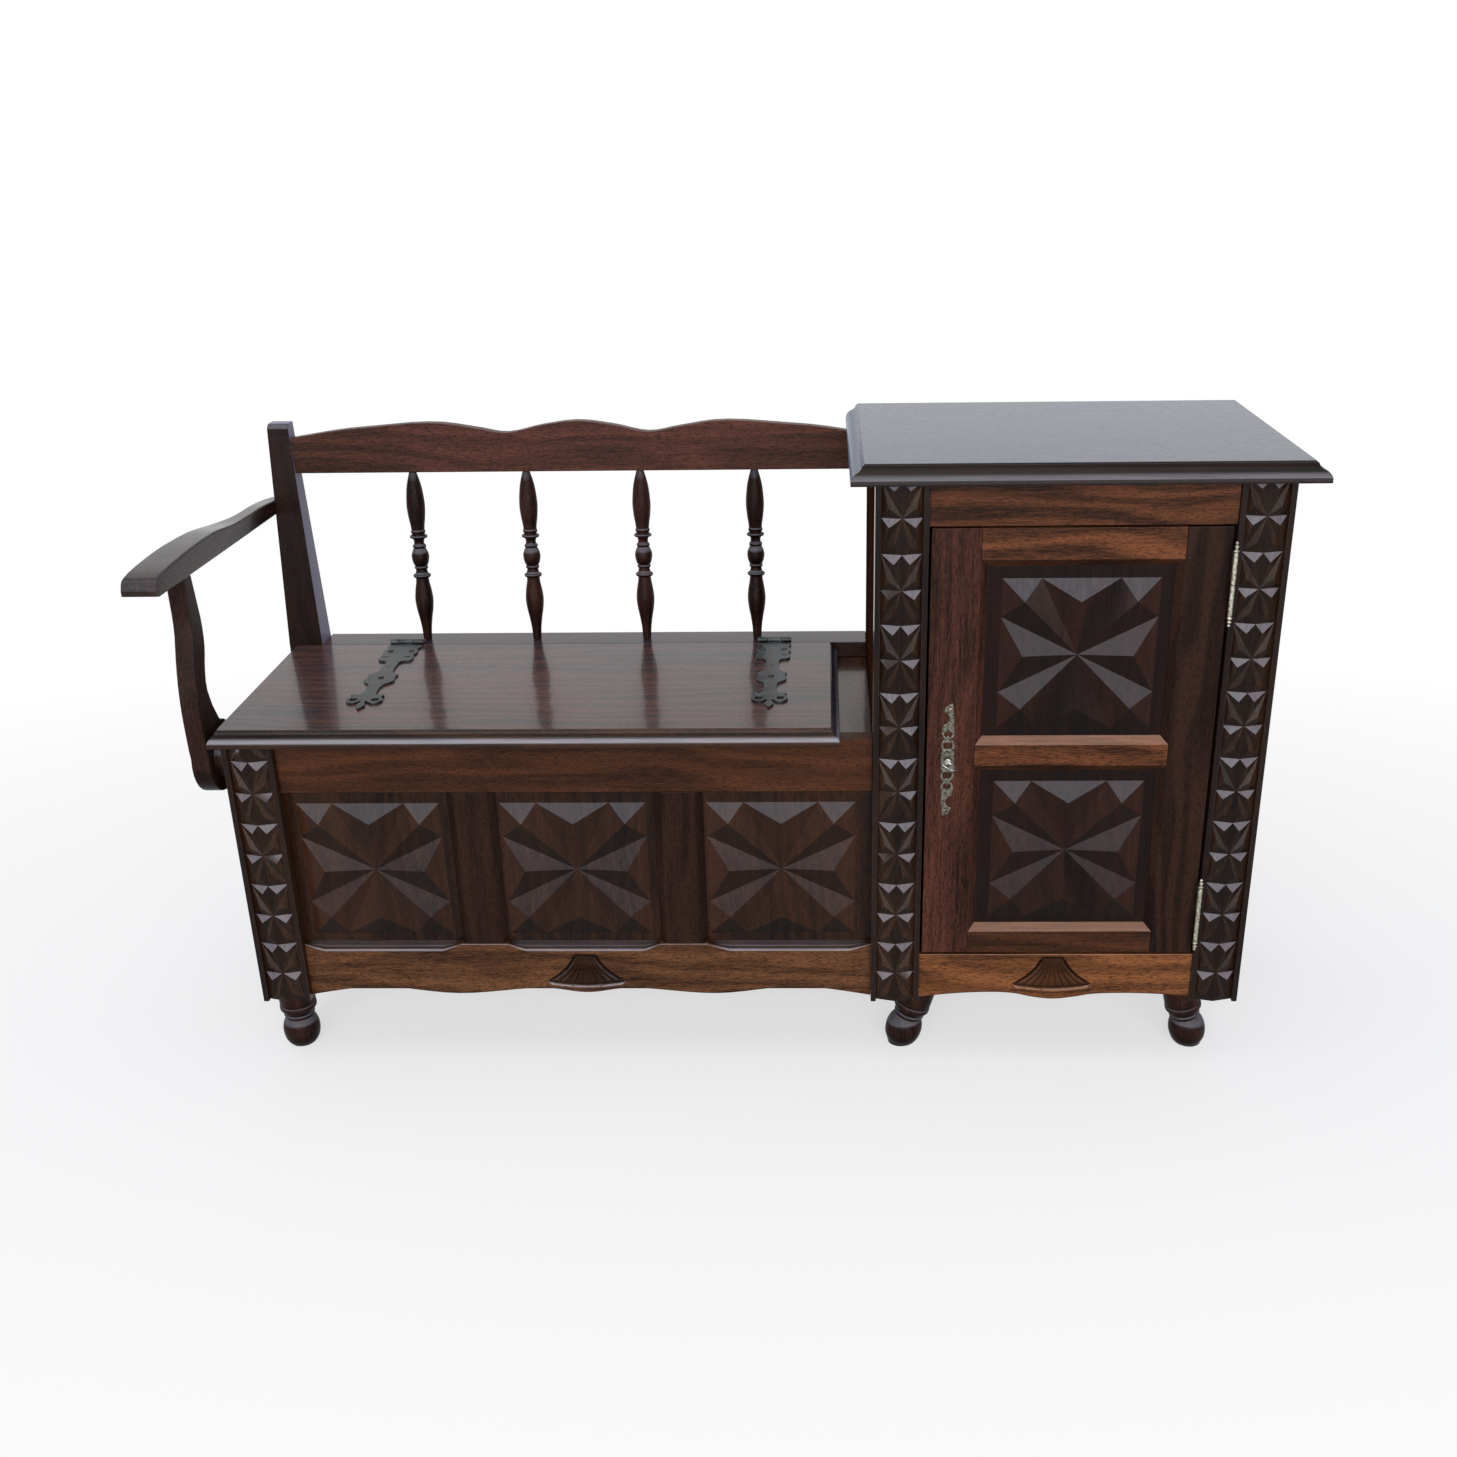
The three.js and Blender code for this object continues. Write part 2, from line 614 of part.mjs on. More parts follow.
// Two rails and a panel between a front post and the post behind it
function sideFrame(group, name, outer, inward, [y0, y1], topZ) {
  const limits = (a, b) => [outer + inward * a, outer + inward * b].sort((p, q) => p - q);
  const y = [y0 + seam, y1 - seam];
  const levels = [floorTop + sideBottomRail - rebateDepth, topZ - sideTopRail + rebateDepth];
  const rebate = box(limits(sidePanelInset, sideThick + overrun), grown(y, overrun), levels);
  const thick = limits(0, sideThick);
  const topRail = box(thick, y, [topZ - sideTopRail, topZ]).subtract(rebate);
  const bottomRail = box(thick, y, [floorTop + seam, floorTop + sideBottomRail]).subtract(rebate);
  const panel = box(limits(sidePanelInset + seam, sidePanelInset + panelThick), y, grown(levels, -play));
  add(group, `${name}_side_top_rail`, wood(warmWood), topRail);
  add(group, `${name}_side_bottom_rail`, wood(warmWood), bottomRail);
  add(group, `${name}_side_panel`, wood(darkWood), panel);
}

const backBoardY = [carcassDepth - backInset - backThick, carcassDepth - backInset];

function chestCarcass() {
  const group = subgroup();
  sideFrame(group, 'chest', 0, 1, [postDepth, stripFront], chestHeight);
  const [right, frontY] = [middleX - seam, postDepth + seam];
  const [postX, postY] = [backPostRight + seam, stripFront - seam];
  const floorBack = backBoardY[0] - seam;
  const floor = [
    [0, frontY], [right, frontY], [right, floorBack], [postX, floorBack], [postX, postY], [0, postY],
  ];
  add(group, 'chest_bottom_board', wood(darkWood), extruded('z', floor, [legHeight, floorTop]));
  const backBoard = box([postX, right], backBoardY, [legHeight, chestHeight - seam]);
  add(group, 'chest_back_board', wood(darkWood), backBoard);
  const ledgeX = [middleX - ledgeWidth, right];
  const ledge = box(ledgeX, [frontY, postY], [chestHeight - ledgeThick, chestHeight]);
  add(group, 'chest_ledge', wood(warmWood), ledge);
  const strip = box([postX, right], [stripFront, carcassDepth], [chestHeight, seatLevel]);
  add(group, 'hinge_strip', wood(darkWood), strip);
}

const hingeZ = seatLevel + barrelRise;
const hingeY = stripFront;

// A strap hinge: the strap and middle knuckle ride on the lid, the leaf, end knuckles and pin stay
function strapHinges(lidGroup, fixedGroup) {
  const plateZ = [seatLevel + seam, seatLevel + seam + ironThick];
  const clear = barrelRadius + play;
  ['left', 'right'].forEach((side, i) => {
    const x = strapCentres[i];
    const knuckle = (range, radius) => bar('x', [hingeY, hingeZ], radius, range);
    const middle = [x - strapKnuckleHalf, x + strapKnuckleHalf];
    const at = ([out, along]) => [out * strapHalf, hingeY - clear - along * strapReach];
    const outline = strapShares.map(at);
    const rightSide = outline.map(([a, b]) => [x + a, b]);
    const leftSide = outline.reverse().slice(1).map(([a, b]) => [x - a, b]);
    const tab = box(middle, [hingeY - clear - bite, hingeY], plateZ);
    const bore = knuckle(grown(middle, overrun), strapBore);
    const plate = extruded('z', [...rightSide, ...leftSide], plateZ);
    const strap = plate.add(tab).add(knuckle(middle, barrelRadius)).subtract(bore);
    add(lidGroup, `lid_strap_${side}`, metal(black), strap);

    const leafY = [hingeY + clear, hingeY + clear + leafDepth];
    const wide = grown([x, x], strapHalf);
    let leaf = box(wide, leafY, plateZ).add(knuckle(wide, strapPinRadius));
    for (const end of [[x - strapHalf, middle[0] - play], [middle[1] + play, x + strapHalf]]) {
      leaf = leaf.add(knuckle(end, barrelRadius)).add(box(end, [hingeY, leafY[1]], plateZ));
    }
    add(fixedGroup, `strip_leaf_${side}`, metal(black), leaf);
  });
}

function lid() {
  const group = subgroup();
  const slab = mouldedSlab([lidLeft, lidRight], [lidFront, stripFront - play],
    [chestHeight + play, seatLevel], lidMould);
  add(group, 'seat_lid', wood(redWood), slab);
  strapHinges(group, subgroup());
}

// Right face of the back post, which narrows above the seat
const postInner = (z) => backPostRight
  - (backPostWidth - backPostTopWidth) * (z - seatLevel) / (backPostTop - seatLevel);

function backPost() {
  const group = subgroup();
  const rear = smooth([
    [carcassDepth, chestHeight - backPostBend], [carcassDepth - backPostWaist, seatLevel],
    [carcassDepth + backPostTail, backPostTop],
  ], 10);
  const topFront = stripFront + backPostSweep;
  const round = new THREE.Path().absarc(topFront + backPostRound, backPostTop - backPostRound,
    backPostRound, Math.PI, Math.PI / 2, true).getSpacedPoints(5).map((p) => [p.x, p.y]);
  const side = [[carcassDepth, 0], ...rear, ...round.reverse(), [stripFront, seatLevel], [stripFront, 0]];
  const topX = postInner(backPostTop);
  const farX = backPostRight + overrun;
  const taper = [[backPostRight, seatLevel], [topX, backPostTop], [topX, backPostTop + overrun],
    [farX, backPostTop + overrun], [farX, seatLevel]];
  const post = extruded('x', side, [backPostLeft, backPostRight])
    .subtract(extruded('y', taper, [stripFront - overrun, carcassDepth + backPostTail + overrun]));
  add(group, 'back_post', wood(darkWood), post);
}

// Crest rail and spindles share one leaning plane that stands on the strip behind the lid
function leaningBack() {
  const group = subgroup();
  group.position.set(0, stripFront + backFoot, seatLevel);
  group.rotation.x = -backLean;
  const crestLift = (cabinetHeight - crestDrop - seatLevel) / Math.cos(backLean);
  const leftX = postInner(backPostTop);
  const [centre, half] = [(leftX + middleX) / 2, (middleX - leftX) / 2];
  const top = mirrored(crestShares).map(([along, high]) => (
    [centre + along * half, crestLift + high * crestWave]));
  const wave = smooth(top, 4 * (top.length - 1));
  const levels = [crestLift, crestLift + crestWave];
  const [lowX, highX] = levels.map((z) => postInner(seatLevel + z * Math.cos(backLean)) + seam);
  const faces = grown([0, 0], crestThick / 2);
  const outline = [[wave[0][0], crestLift], ...wave, [wave.at(-1)[0], crestLift]];
  const [right, over] = [middleX - seam, levels[1] + overrun];
  const limits = [[lowX, crestLift], [right, crestLift], [right, over], [highX, over]];
  const rail = extruded('y', outline, faces).intersect(extruded('y', limits, grown(faces, overrun)));
  add(group, 'crest_rail', wood(redWood), rail);

  const tipRadius = spindleShares.at(-1)[1] * spindleRadius;
  const start = play + tipRadius * Math.tan(backLean);
  const length = crestLift - play - start;
  const rings = spindleShares.map(([down, wide]) => [wide * spindleRadius, (1 - down) * length]).reverse();
  const profile = [[0, rings[0][1]], ...rings, [0, rings.at(-1)[1]]];
  const pitch = (middleX - lowX) / (spindleCount + 1);
  for (let i = 0; i < spindleCount; i += 1) {
    const spindle = toGeometry(toSolid(turned(profile, 14)));
    const mesh = add(group, `spindle_${i + 1}`, wood(darkWood), spindle);
    mesh.position.set(lowX + spindleShift + (i + 1) * pitch, 0, start);
  }
}

const armUnder = (y) => armBackUnder + armNoseRise * (carcassDepth - y) / (carcassDepth - armNose);

function arm() {
  const group = subgroup();
  const inner = backPostLeft - seam;
  const length = carcassDepth - armNose;
  const outer = armPlanShares.map(([y, w]) => [backPostLeft - w * armNoseWidth, armNose + y * length]);
  const plan = smooth(outer, 24);
  const crown = ([y, z]) => [armNose + y * length, armBackUnder + armThick + z * armCrown];
  const top = smooth(armCrownShares.map(crown), 26);
  const noseY = armNose + armNoseRun;
  const under = [[carcassDepth, armBackUnder], [noseY, armUnder(noseY)]];
  const side = [...top, ...under, [armNose, armUnder(armNose) + armNoseRound]];
  const board = extruded('z', [[inner, armNose], ...plan, [inner, carcassDepth]],
    grown([armBackUnder, armBackUnder + armThick], armCrown + armNoseRise + overrun));
  const rail = board.intersect(extruded('x', side, [inner - armNoseWidth - overrun, inner + overrun]));
  add(group, 'armrest', wood(darkWood), rail);

  const high = armUnder(supportFootY) - play - supportFootZ;
  const at = ([y, z]) => [supportFootY + y * supportFootRadius, supportFootZ + z * high];
  const arc = new THREE.Path().absarc(supportFootY, supportFootZ, supportFootRadius,
    ...supportFootAngles).getSpacedPoints(20).map((p) => [p.x, p.y]);
  const [frontEdge, backEdge] = [supportFrontShares, supportBackShares].map((edge) => smooth(edge.map(at), 14));
  const outline = [...frontEdge, ...arc, ...backEdge];
  const pad = bar('x', [supportFootY, supportFootZ], padRadius, [-supportInner - bite, -seam], 20);
  const support = extruded('x', outline, [-supportOuter, -supportInner]).add(pad);
  add(group, 'arm_support', wood(darkWood), support);
}

function cabinetCarcass() {
  const group = subgroup();
  const rearY = carcassDepth - rearPost;
  const lefts = [middleX, carcassWidth - rearPost];
  ['left', 'right'].forEach((side, i) => {
    const post = box([lefts[i], lefts[i] + rearPost], [rearY, carcassDepth], [0, cabinetHeight]);
    add(group, `cabinet_rear_post_${side}`, wood(darkWood), post);
  });

  const railX = [middleX + postWidth + seam, rightX - seam];
  const railY = [cabinetInset, postDepth];
  const topRailZ = [cabinetHeight - cabinetTopRail, cabinetHeight];
  add(group, 'cabinet_top_rail', wood(warmWood), box(railX, railY, topRailZ));
  const cabinetMiddle = middleX + postWidth + cabinetBay / 2;
  const bottomRail = wavyRail(railX, railY, [legHeight, cabinetBottomTop], cabinetMiddle, cabinetBay / 2,
    cabinetWaveRise, cabinetWaveShares);
  const fan = shell(cabinetMiddle - cabinetShellShift, cabinetBottomTop - cabinetShellDrop, cabinetInset);
  add(group, 'cabinet_bottom_rail', wood(warmWood), bottomRail.add(fan));

  const innerY = [postDepth + seam, rearY - seam];
  const partitionX = [middleX, middleX + partitionThick];
  const partition = box(partitionX, innerY, [floorTop + seam, cabinetHeight]);
  add(group, 'cabinet_partition', wood(darkWood), partition);
  sideFrame(group, 'cabinet', carcassWidth, -1, [postDepth, rearY], cabinetHeight);

  const [notchLeft, notchRight] = [middleX + rearPost + seam, carcassWidth - rearPost - seam];
  const backY = backBoardY[1];
  const floor = [
    [middleX, innerY[0]], [carcassWidth, innerY[0]], [carcassWidth, innerY[1]], [notchRight, innerY[1]],
    [notchRight, backY], [notchLeft, backY], [notchLeft, innerY[1]], [middleX, innerY[1]],
  ];
  add(group, 'cabinet_bottom_board', wood(darkWood), extruded('z', floor, [legHeight, floorTop]));
  const backBoard = box([notchLeft, notchRight], backBoardY, [floorTop + seam, cabinetHeight]);
  add(group, 'cabinet_back_board', wood(darkWood), backBoard);
  const shelfX = [partitionX[1] + seam, carcassWidth - sidePanelInset - panelThick - play];
  const shelf = box(shelfX, [shelfFront, innerY[1]], [shelfLevel, shelfLevel + boardThick]);
  add(group, 'cabinet_shelf', wood(darkWood), shelf);

  const reach = topOverhang - topMould;
  const top = mouldedSlab([middleX - reach, carcassWidth + reach], [topMould - topFrontOverhang, carcassDepth],
    [cabinetHeight + seam, cabinetHeight + topThick], topMould);
  add(group, 'cabinet_top_board', wood(redWood), top);
}

const doorY = [cabinetInset, cabinetInset + doorThick];
const openingX = [doorLeft + lockStile, doorRight - hingeStile];
const doorMiddleHigh = doorMiddleLow + doorMiddleRail;
const openings = {
  upper: [doorMiddleHigh, doorHigh - doorTopRail],
  lower: [doorLow + doorBottomRail, doorMiddleLow],
};

// A bevelled lip along one side of a door opening, mitred where it meets its neighbours
function lip(axis, edge, inward, [from, to]) {
  const points = [];
  for (const [end, sign] of [[from + seam, 1], [to - seam, -1]]) {
    for (const [out, deep] of [[-bite, 0], [0, 0], [lipSize, lipSize], [-bite, lipSize]]) {
      const along = end + sign * Math.max(out, 0);
      const off = edge + inward * out;
      const y = doorY[0] + deep;
      points.push(axis === 'z' ? new THREE.Vector3(off, y, along) : new THREE.Vector3(along, y, off));
    }
  }
  return toSolid(new ConvexGeometry(points));
}

function door() {
  const group = subgroup();
  const uprights = [doorLow, doorHigh];
  let lock = box([doorLeft, openingX[0]], doorY, uprights);
  let hinge = box([openingX[1], doorRight], doorY, uprights);
  for (const range of [openings.upper, openings.lower]) {
    lock = lock.add(lip('z', openingX[0], 1, range));
    hinge = hinge.add(lip('z', openingX[1], -1, range));
  }
  lock = lock.subtract(bar('y', [keyX, keyZ], keyHole, grown(doorY, overrun)));
  add(group, 'door_lock_stile', wood(darkWood), lock);
  add(group, 'door_hinge_stile', wood(darkWood), hinge);

  const railX = grown(openingX, -seam);
  const withLip = (solid, [edge, inward]) => solid.add(lip('x', edge, inward, openingX));
  const rail = (z, lips) => lips.reduce(withLip, box(railX, doorY, z));
  const [upper, lower] = [openings.upper, openings.lower];
  add(group, 'door_top_rail', wood(warmWood), rail([upper[1], doorHigh], [[upper[1], -1]]));
  const bothLips = [[upper[0], 1], [lower[1], -1]];
  add(group, 'door_middle_rail', wood(warmWood), rail([lower[1], upper[0]], bothLips));
  add(group, 'door_bottom_rail', wood(warmWood), rail([doorLow, lower[0]], [[lower[0], 1]]));

  const faceY = doorY[0] + lipSize + seam;
  for (const [name, z] of Object.entries(openings)) {
    const panel = starPanel(grown(openingX, -play), grown(z, -play), [faceY, faceY + doorPanelThick],
      [openingX, z], doorStarMargins, doorStarShift);
    add(group, `door_panel_${name}`, wood(darkWood), panel);
  }
}

// Lift-off hinges: the lower half and its pin stay on the post, the upper half rides on the door
function doorHinges() {
  const group = subgroup();
  const pin = [(doorRight + rightX) / 2, -hingeOut];
  const leafY = [-hingeOut, doorY[1] - leafTrim];
  Object.entries({ upper: hingeLows[0], lower: hingeLows[1] }).forEach(([name, low]) => {
    const middle = low + hingeHigh / 2;
    const barrel = hingeHigh / 2 - finialLength;
    const half = (sign) => {
      const rings = finialShares.map(([r, h]) => [r * finialRadius, sign * (barrel + h * finialLength)]);
      const shoulder = sign > 0 ? play : 0;
      const profile = [...rings, [knuckleRadius, sign * barrel], [knuckleRadius, shoulder], [0, shoulder]];
      return toSolid(turned(sign > 0 ? profile.reverse() : profile, 12).translate(...pin, middle));
    };
    const leafZ = [leafTrim, barrel - leafTrim];
    const postX = [rightX - seam - leafThick, rightX - seam];
    const postLeaf = box(postX, leafY, [middle - leafZ[1], middle - leafZ[0]]);
    const spike = bar('z', pin, pinRadius, [middle - bite, middle + pinReach]);
    add(group, `post_knuckle_${name}`, metal(brass), half(-1).add(postLeaf).add(spike));
    const doorX = [doorRight + seam, doorRight + seam + leafThick];
    const doorLeaf = box(doorX, leafY, [middle + leafZ[0], middle + leafZ[1]]);
    const bore = bar('z', pin, pinBore, [middle - overrun, middle + pinReach + play]);
    add(group, `door_knuckle_${name}`, metal(brass), half(1).add(doorLeaf).subtract(bore));
  });
}

function lock() {
  const group = subgroup();
  const quarter = plateShares.map(([w, h]) => [w * plateHalf, h * plateLength / 2]);
  const right = [...quarter, ...quarter.slice(0, -1).reverse().map(([a, b]) => [a, -b])];
  const outline = [...right, ...right.slice().reverse().map(([a, b]) => [-a, b])];
  const plateY = [doorY[0] - seam - plateThick, doorY[0] - seam];
  const plate = extruded('y', outline.map(([a, b]) => [keyX + a, keyZ + b]), plateY);
  const hole = bar('y', [keyX, keyZ], plateHole, [doorY[0] - plateThick - overrun, doorY[0] + overrun]);
  add(group, 'escutcheon', metal(brass), plate.subtract(hole));

  const caseX = [keyX - caseWidth / 2, keyX + caseWidth / 2];
  const caseY = [doorY[1] + seam, doorY[1] + seam + caseDeep];
  const caseZ = [keyZ - caseHigh / 2, keyZ + caseHigh / 2];
  const boltX = [caseX[0] + play, caseX[0] + play + boltLength];
  const boltY = [caseY[1] - caseWall - play - boltThick, caseY[1] - caseWall - play];
  const boltZ = [keyZ - boltDrop, keyZ - boltDrop + boltHigh];
  const pocketY = [caseY[0] - overrun, caseY[1] - caseWall];
  const pocket = box(grown(caseX, -caseWall), pocketY, grown(caseZ, -caseWall));
  const slotX = [caseX[0] - overrun, caseX[0] + caseWall + overrun];
  const slot = box(slotX, grown(boltY, play), grown(boltZ, play));
  add(group, 'lock_case', metal(black), box(caseX, caseY, caseZ).subtract(pocket).subtract(slot));
  // The notch is under the key when the turning bit points straight down
  const notchX = keyX + boltTravel * (Math.PI / 2 - keyTilt) / (Math.PI / 2);
  const notchZ = [boltZ[1] - boltNotchDeep, boltZ[1] + overrun];
  const notch = box(grown([notchX, notchX], boltNotch / 2), grown(boltY, overrun), notchZ);
  add(subgroup(), 'lock_bolt', metal(brass), box(boltX, boltY, boltZ).subtract(notch));

  const bowY = doorY[0] - bowOut;
  const ring = new THREE.Path().absarc(0, bowY, bowRadius, 0, 2 * Math.PI).getSpacedPoints(20).slice(0, 20);
  const hollow = new THREE.Path().absarc(0, bowY, bowRadius - bowRing, 0, 2 * Math.PI);
  const eye = new THREE.Path(hollow.getSpacedPoints(20).slice(0, 20));
  const bow = extruded('z', ring.map((p) => [p.x, p.y]), grown([0, 0], bowThick / 2), [eye]);
  const shank = bar('y', [0, 0], keyRadius, [bowY + bowRadius - bowRing / 2, keyEnd]);
  const bit = box([0, bitReach], [keyEnd - bitWidth, keyEnd], grown([0, 0], bitThick / 2));
  const key = add(subgroup(), 'key', metal(brass), bow.add(shank).add(bit));
  key.position.set(keyX, 0, keyZ);
  key.rotation.y = keyTilt;
}

frontPosts();
feet();
chestFront();
chestCarcass();
backPost();
leaningBack();
lid();
arm();
cabinetCarcass();
door();
doorHinges();
lock();

export default bench;
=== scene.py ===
# %% [markdown]
# # Telephone bench
# A hall bench of dark stained wood: a chest with a hinged seat lid on the left, a small cabinet on
# the right, carved posts and star panels across the front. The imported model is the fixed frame
# that everything else is built round, so it is loaded first and its box is kept for later.

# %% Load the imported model
import math

import bmesh
import bpy
from mathutils import Matrix, Vector


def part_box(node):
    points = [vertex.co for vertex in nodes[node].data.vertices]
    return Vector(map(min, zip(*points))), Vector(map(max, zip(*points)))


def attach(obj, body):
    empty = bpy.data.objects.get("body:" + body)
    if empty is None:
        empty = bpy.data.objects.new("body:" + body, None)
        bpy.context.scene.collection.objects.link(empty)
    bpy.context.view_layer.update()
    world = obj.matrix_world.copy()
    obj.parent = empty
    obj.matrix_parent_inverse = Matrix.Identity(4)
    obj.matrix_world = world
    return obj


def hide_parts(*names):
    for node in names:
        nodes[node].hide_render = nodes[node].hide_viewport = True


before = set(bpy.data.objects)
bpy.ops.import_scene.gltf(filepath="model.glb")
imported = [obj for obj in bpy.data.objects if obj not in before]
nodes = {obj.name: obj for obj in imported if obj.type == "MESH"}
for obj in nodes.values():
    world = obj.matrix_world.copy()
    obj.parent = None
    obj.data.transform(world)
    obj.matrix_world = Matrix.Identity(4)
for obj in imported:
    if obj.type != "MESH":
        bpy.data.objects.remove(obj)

bpy.context.view_layer.update()

# %% [markdown]
# Places on the bench were worked out from the photograph, in millimetres from the outer front
# corner of the left post, with X to the right, Y to the back and Z up. One small function turns
# such a place into the frame's metres.

# %% Places in millimetres
MM = 0.001
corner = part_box("front_post_left")[0]


def at(x, y, z):
    """A place measured from the left post's outer front corner and the floor, in metres."""
    return Vector((corner.x + x * MM, corner.y + y * MM, z * MM))


print("left post corner:", [round(v, 4) for v in corner])

# %% [markdown]
# The photograph was taken standing, a little right of the middle, looking down at the bench. The
# camera is built from its eye point and three angles rather than aimed at a target, because the
# fitted picture also has a slight roll and is cropped off centre, which the shift stands for.

# %% Camera
EYE = at(717.87, -1643.71, 1144.15)
YAW, PITCH, ROLL = (math.radians(a) for a in (-1.4716, 23.2856, 0.8031))
LENS, SENSOR = 37.56, 36
SHIFT = (-0.0418, 0.0164)

look = Vector((math.sin(YAW) * math.cos(PITCH), math.cos(YAW) * math.cos(PITCH), -math.sin(PITCH)))
level = Vector((math.cos(YAW), -math.sin(YAW), 0))
down = look.cross(level)
right = math.cos(ROLL) * level + math.sin(ROLL) * down
below = math.cos(ROLL) * down - math.sin(ROLL) * level

camera_data = bpy.data.cameras.new("camera")
camera_data.sensor_width = SENSOR
camera_data.lens = LENS
camera_data.shift_x, camera_data.shift_y = SHIFT
camera = bpy.data.objects.new("camera", camera_data)
turn = Matrix((right, -below, -look)).transposed()
camera.matrix_world = Matrix.Translation(EYE) @ turn.to_4x4()
bpy.context.collection.objects.link(camera)
bpy.context.scene.camera = camera
bpy.context.scene.view_settings.view_transform = "Standard"
print("camera height:", round(EYE.z, 3), "m")

# %% [markdown]
# Every finish here is worked out by shader nodes, and shader maths reads best as plain expressions.
# This small class wraps one socket of a node tree: adding, subtracting or multiplying two wraps
# makes the Math node and wires it. Any other node comes from one method of the finish, `node`,
# which takes its type, the values of its sockets and its settings. Colours go through Mix and
# vectors through Vector Math, because a Math node would turn a colour grey.


# %% Shader expressions
class Wire:
    """One output socket, with arithmetic that makes Math nodes."""

    def __init__(self, finish, socket):
        self.finish = finish
        self.socket = socket

    def math(self, operation, *others):
        values = dict(enumerate((self, *others)))
        return self.finish.node("Math", values, operation=operation)

    def __add__(self, other):
        return self.math("ADD", other)

    __radd__ = __add__

    def __sub__(self, other):
        return self.math("SUBTRACT", other)

    def __rsub__(self, other):
        return self.finish.node("Math", {0: other, 1: self}, operation="SUBTRACT")

    def __mul__(self, other):
        return self.math("MULTIPLY", other)

    __rmul__ = __mul__

    def __pow__(self, other):
        return self.math("POWER", other)


class Finish:
    """A new material, or a world, whose nodes are made one call at a time."""

    def __init__(self, name, owner=None):
        self.owner = owner or bpy.data.materials.new(name)
        self.owner.use_nodes = True
        self.tree = self.owner.node_tree
        self.tree.nodes.clear()

    def node(self, kind, sockets=None, out=0, **settings):
        """Makes one shader node; settings come first, then each socket's value or wire."""
        made = self.tree.nodes.new("ShaderNode" + kind)
        for key, value in settings.items():
            setattr(made, key, value)
        for key, value in (sockets or {}).items():
            if isinstance(value, Wire):
                self.tree.links.new(value.socket, made.inputs[key])
            else:
                made.inputs[key].default_value = value
        return Wire(self, made.outputs[out]) if made.outputs else made

    def mix(self, share, first, second):
        """Two colours mixed by a share."""
        return self.node("Mix", {0: share, 6: first, 7: second}, out=2, data_type="RGBA")

    def split(self, vector):
        """The three parts of a vector."""
        return [self.node("SeparateXYZ", {0: vector}, out=i) for i in range(3)]

    def spread(self, value, low, high, to_low=0.0, to_high=1.0):
        """A value's range from low to high, spread over another one."""
        limits = {0: value, 1: low, 2: high, 3: to_low, 4: to_high}
        return self.node("MapRange", limits)

    def surface(self, colour, rough, bump, others):
        """Ends a material: its shader, with a bump's height, strength and depth in metres."""
        height, strength, depth = bump
        sockets = {"Strength": strength, "Distance": depth, "Height": height}
        normal = self.node("Bump", sockets)
        sockets = {"Base Color": colour, "Roughness": rough, "Normal": normal, **others}
        self.node("OutputMaterial", {"Surface": self.node("BsdfPrincipled", sockets)})
        return self.owner


def linear(colour):
    """A colour as read from a picture, 0 to 255, as the linear one that a shader takes."""
    shares = (v / 255 for v in colour)
    return (*(v / 12.92 if v <= 0.04045 else ((v + 0.055) / 1.055) ** 2.4 for v in shares), 1)


print("shader expressions ready")

# %% [markdown]
# The bench is shown before a white background, as in a shop's catalogue. A lit sheet of paper would
# need many lamps to stay white, so the world is made white only to the rays that show it, straight
# to the camera or mirrored, and much quieter to the rays that carry light.


# %% World
WHITE, QUIET_SKY, QUIET_STRENGTH = (1, 1, 1, 1), (0.80, 0.87, 1.0, 1), 0.36


def seen_rays(finish):
    """1 for rays that show a background: seen straight, mirrored or through glass."""
    camera_ray, glossy, through = (finish.node("LightPath", out=name) for name in
                                   ("Is Camera Ray", "Is Glossy Ray", "Is Transmission Ray"))
    return camera_ray.math("MAXIMUM", glossy).math("MAXIMUM", through)


world = bpy.data.worlds.new("studio")
bpy.context.scene.world = world
sky = Finish("sky", world)
quiet = sky.node("Background", {"Color": QUIET_SKY, "Strength": QUIET_STRENGTH})
white = sky.node("Background", {"Color": WHITE, "Strength": 1.0})
both = sky.node("MixShader", {0: seen_rays(sky), 1: quiet, 2: white})
sky.node("OutputWorld", {"Surface": both})
print("world:", world.name)

# %% [markdown]
# The floor under the bench takes its shadow. It could be a large plain sheet, but its far edge
# would show as a horizon, so away from the bench it fades into the white of the background.

# %% Floor
PALE = (0.86, 0.86, 0.86, 1)
FLOOR_REACH = 14
# over an oval, and between these distances, the floor fades into the white background
FADE_OVAL, FADE = (0.6, 1.0, 0), (0.35, 1.5, 0.6, 1.0)

corners = ((-1, -1), (1, -1), (1, 1), (-1, 1))
mesh = bpy.data.meshes.new("floor")
mesh.from_pydata([(x * FLOOR_REACH, y * FLOOR_REACH, 0) for x, y in corners], [], [(0, 1, 2, 3)])
floor = bpy.data.objects.new("floor", mesh)
bpy.context.collection.objects.link(floor)
paint = Finish("pale_floor")
place = paint.node("TexCoord", out="Object")
oval = paint.node("VectorMath", {0: place, 1: FADE_OVAL}, operation="MULTIPLY")
away = paint.node("VectorMath", {0: oval}, out=1, operation="LENGTH")
share = paint.spread(away, *FADE) * seen_rays(paint)
plain = paint.node("BsdfDiffuse", {"Color": PALE})
backdrop = paint.node("Emission", {"Color": WHITE, "Strength": 1.0})
both = paint.node("MixShader", {0: share, 1: plain, 2: backdrop})
paint.node("OutputMaterial", {"Surface": both})
mesh.materials.append(paint.owner)
print("floor:", 2 * FLOOR_REACH, "m wide")

# %% [markdown]
# Carved facets only read when some of them mirror a bright band and the others don't. Two long
# softboxes in front give such bands and a broad lamp hangs overhead. A single small lamp would be
# simpler, but it would leave hot spots that hide the wood.


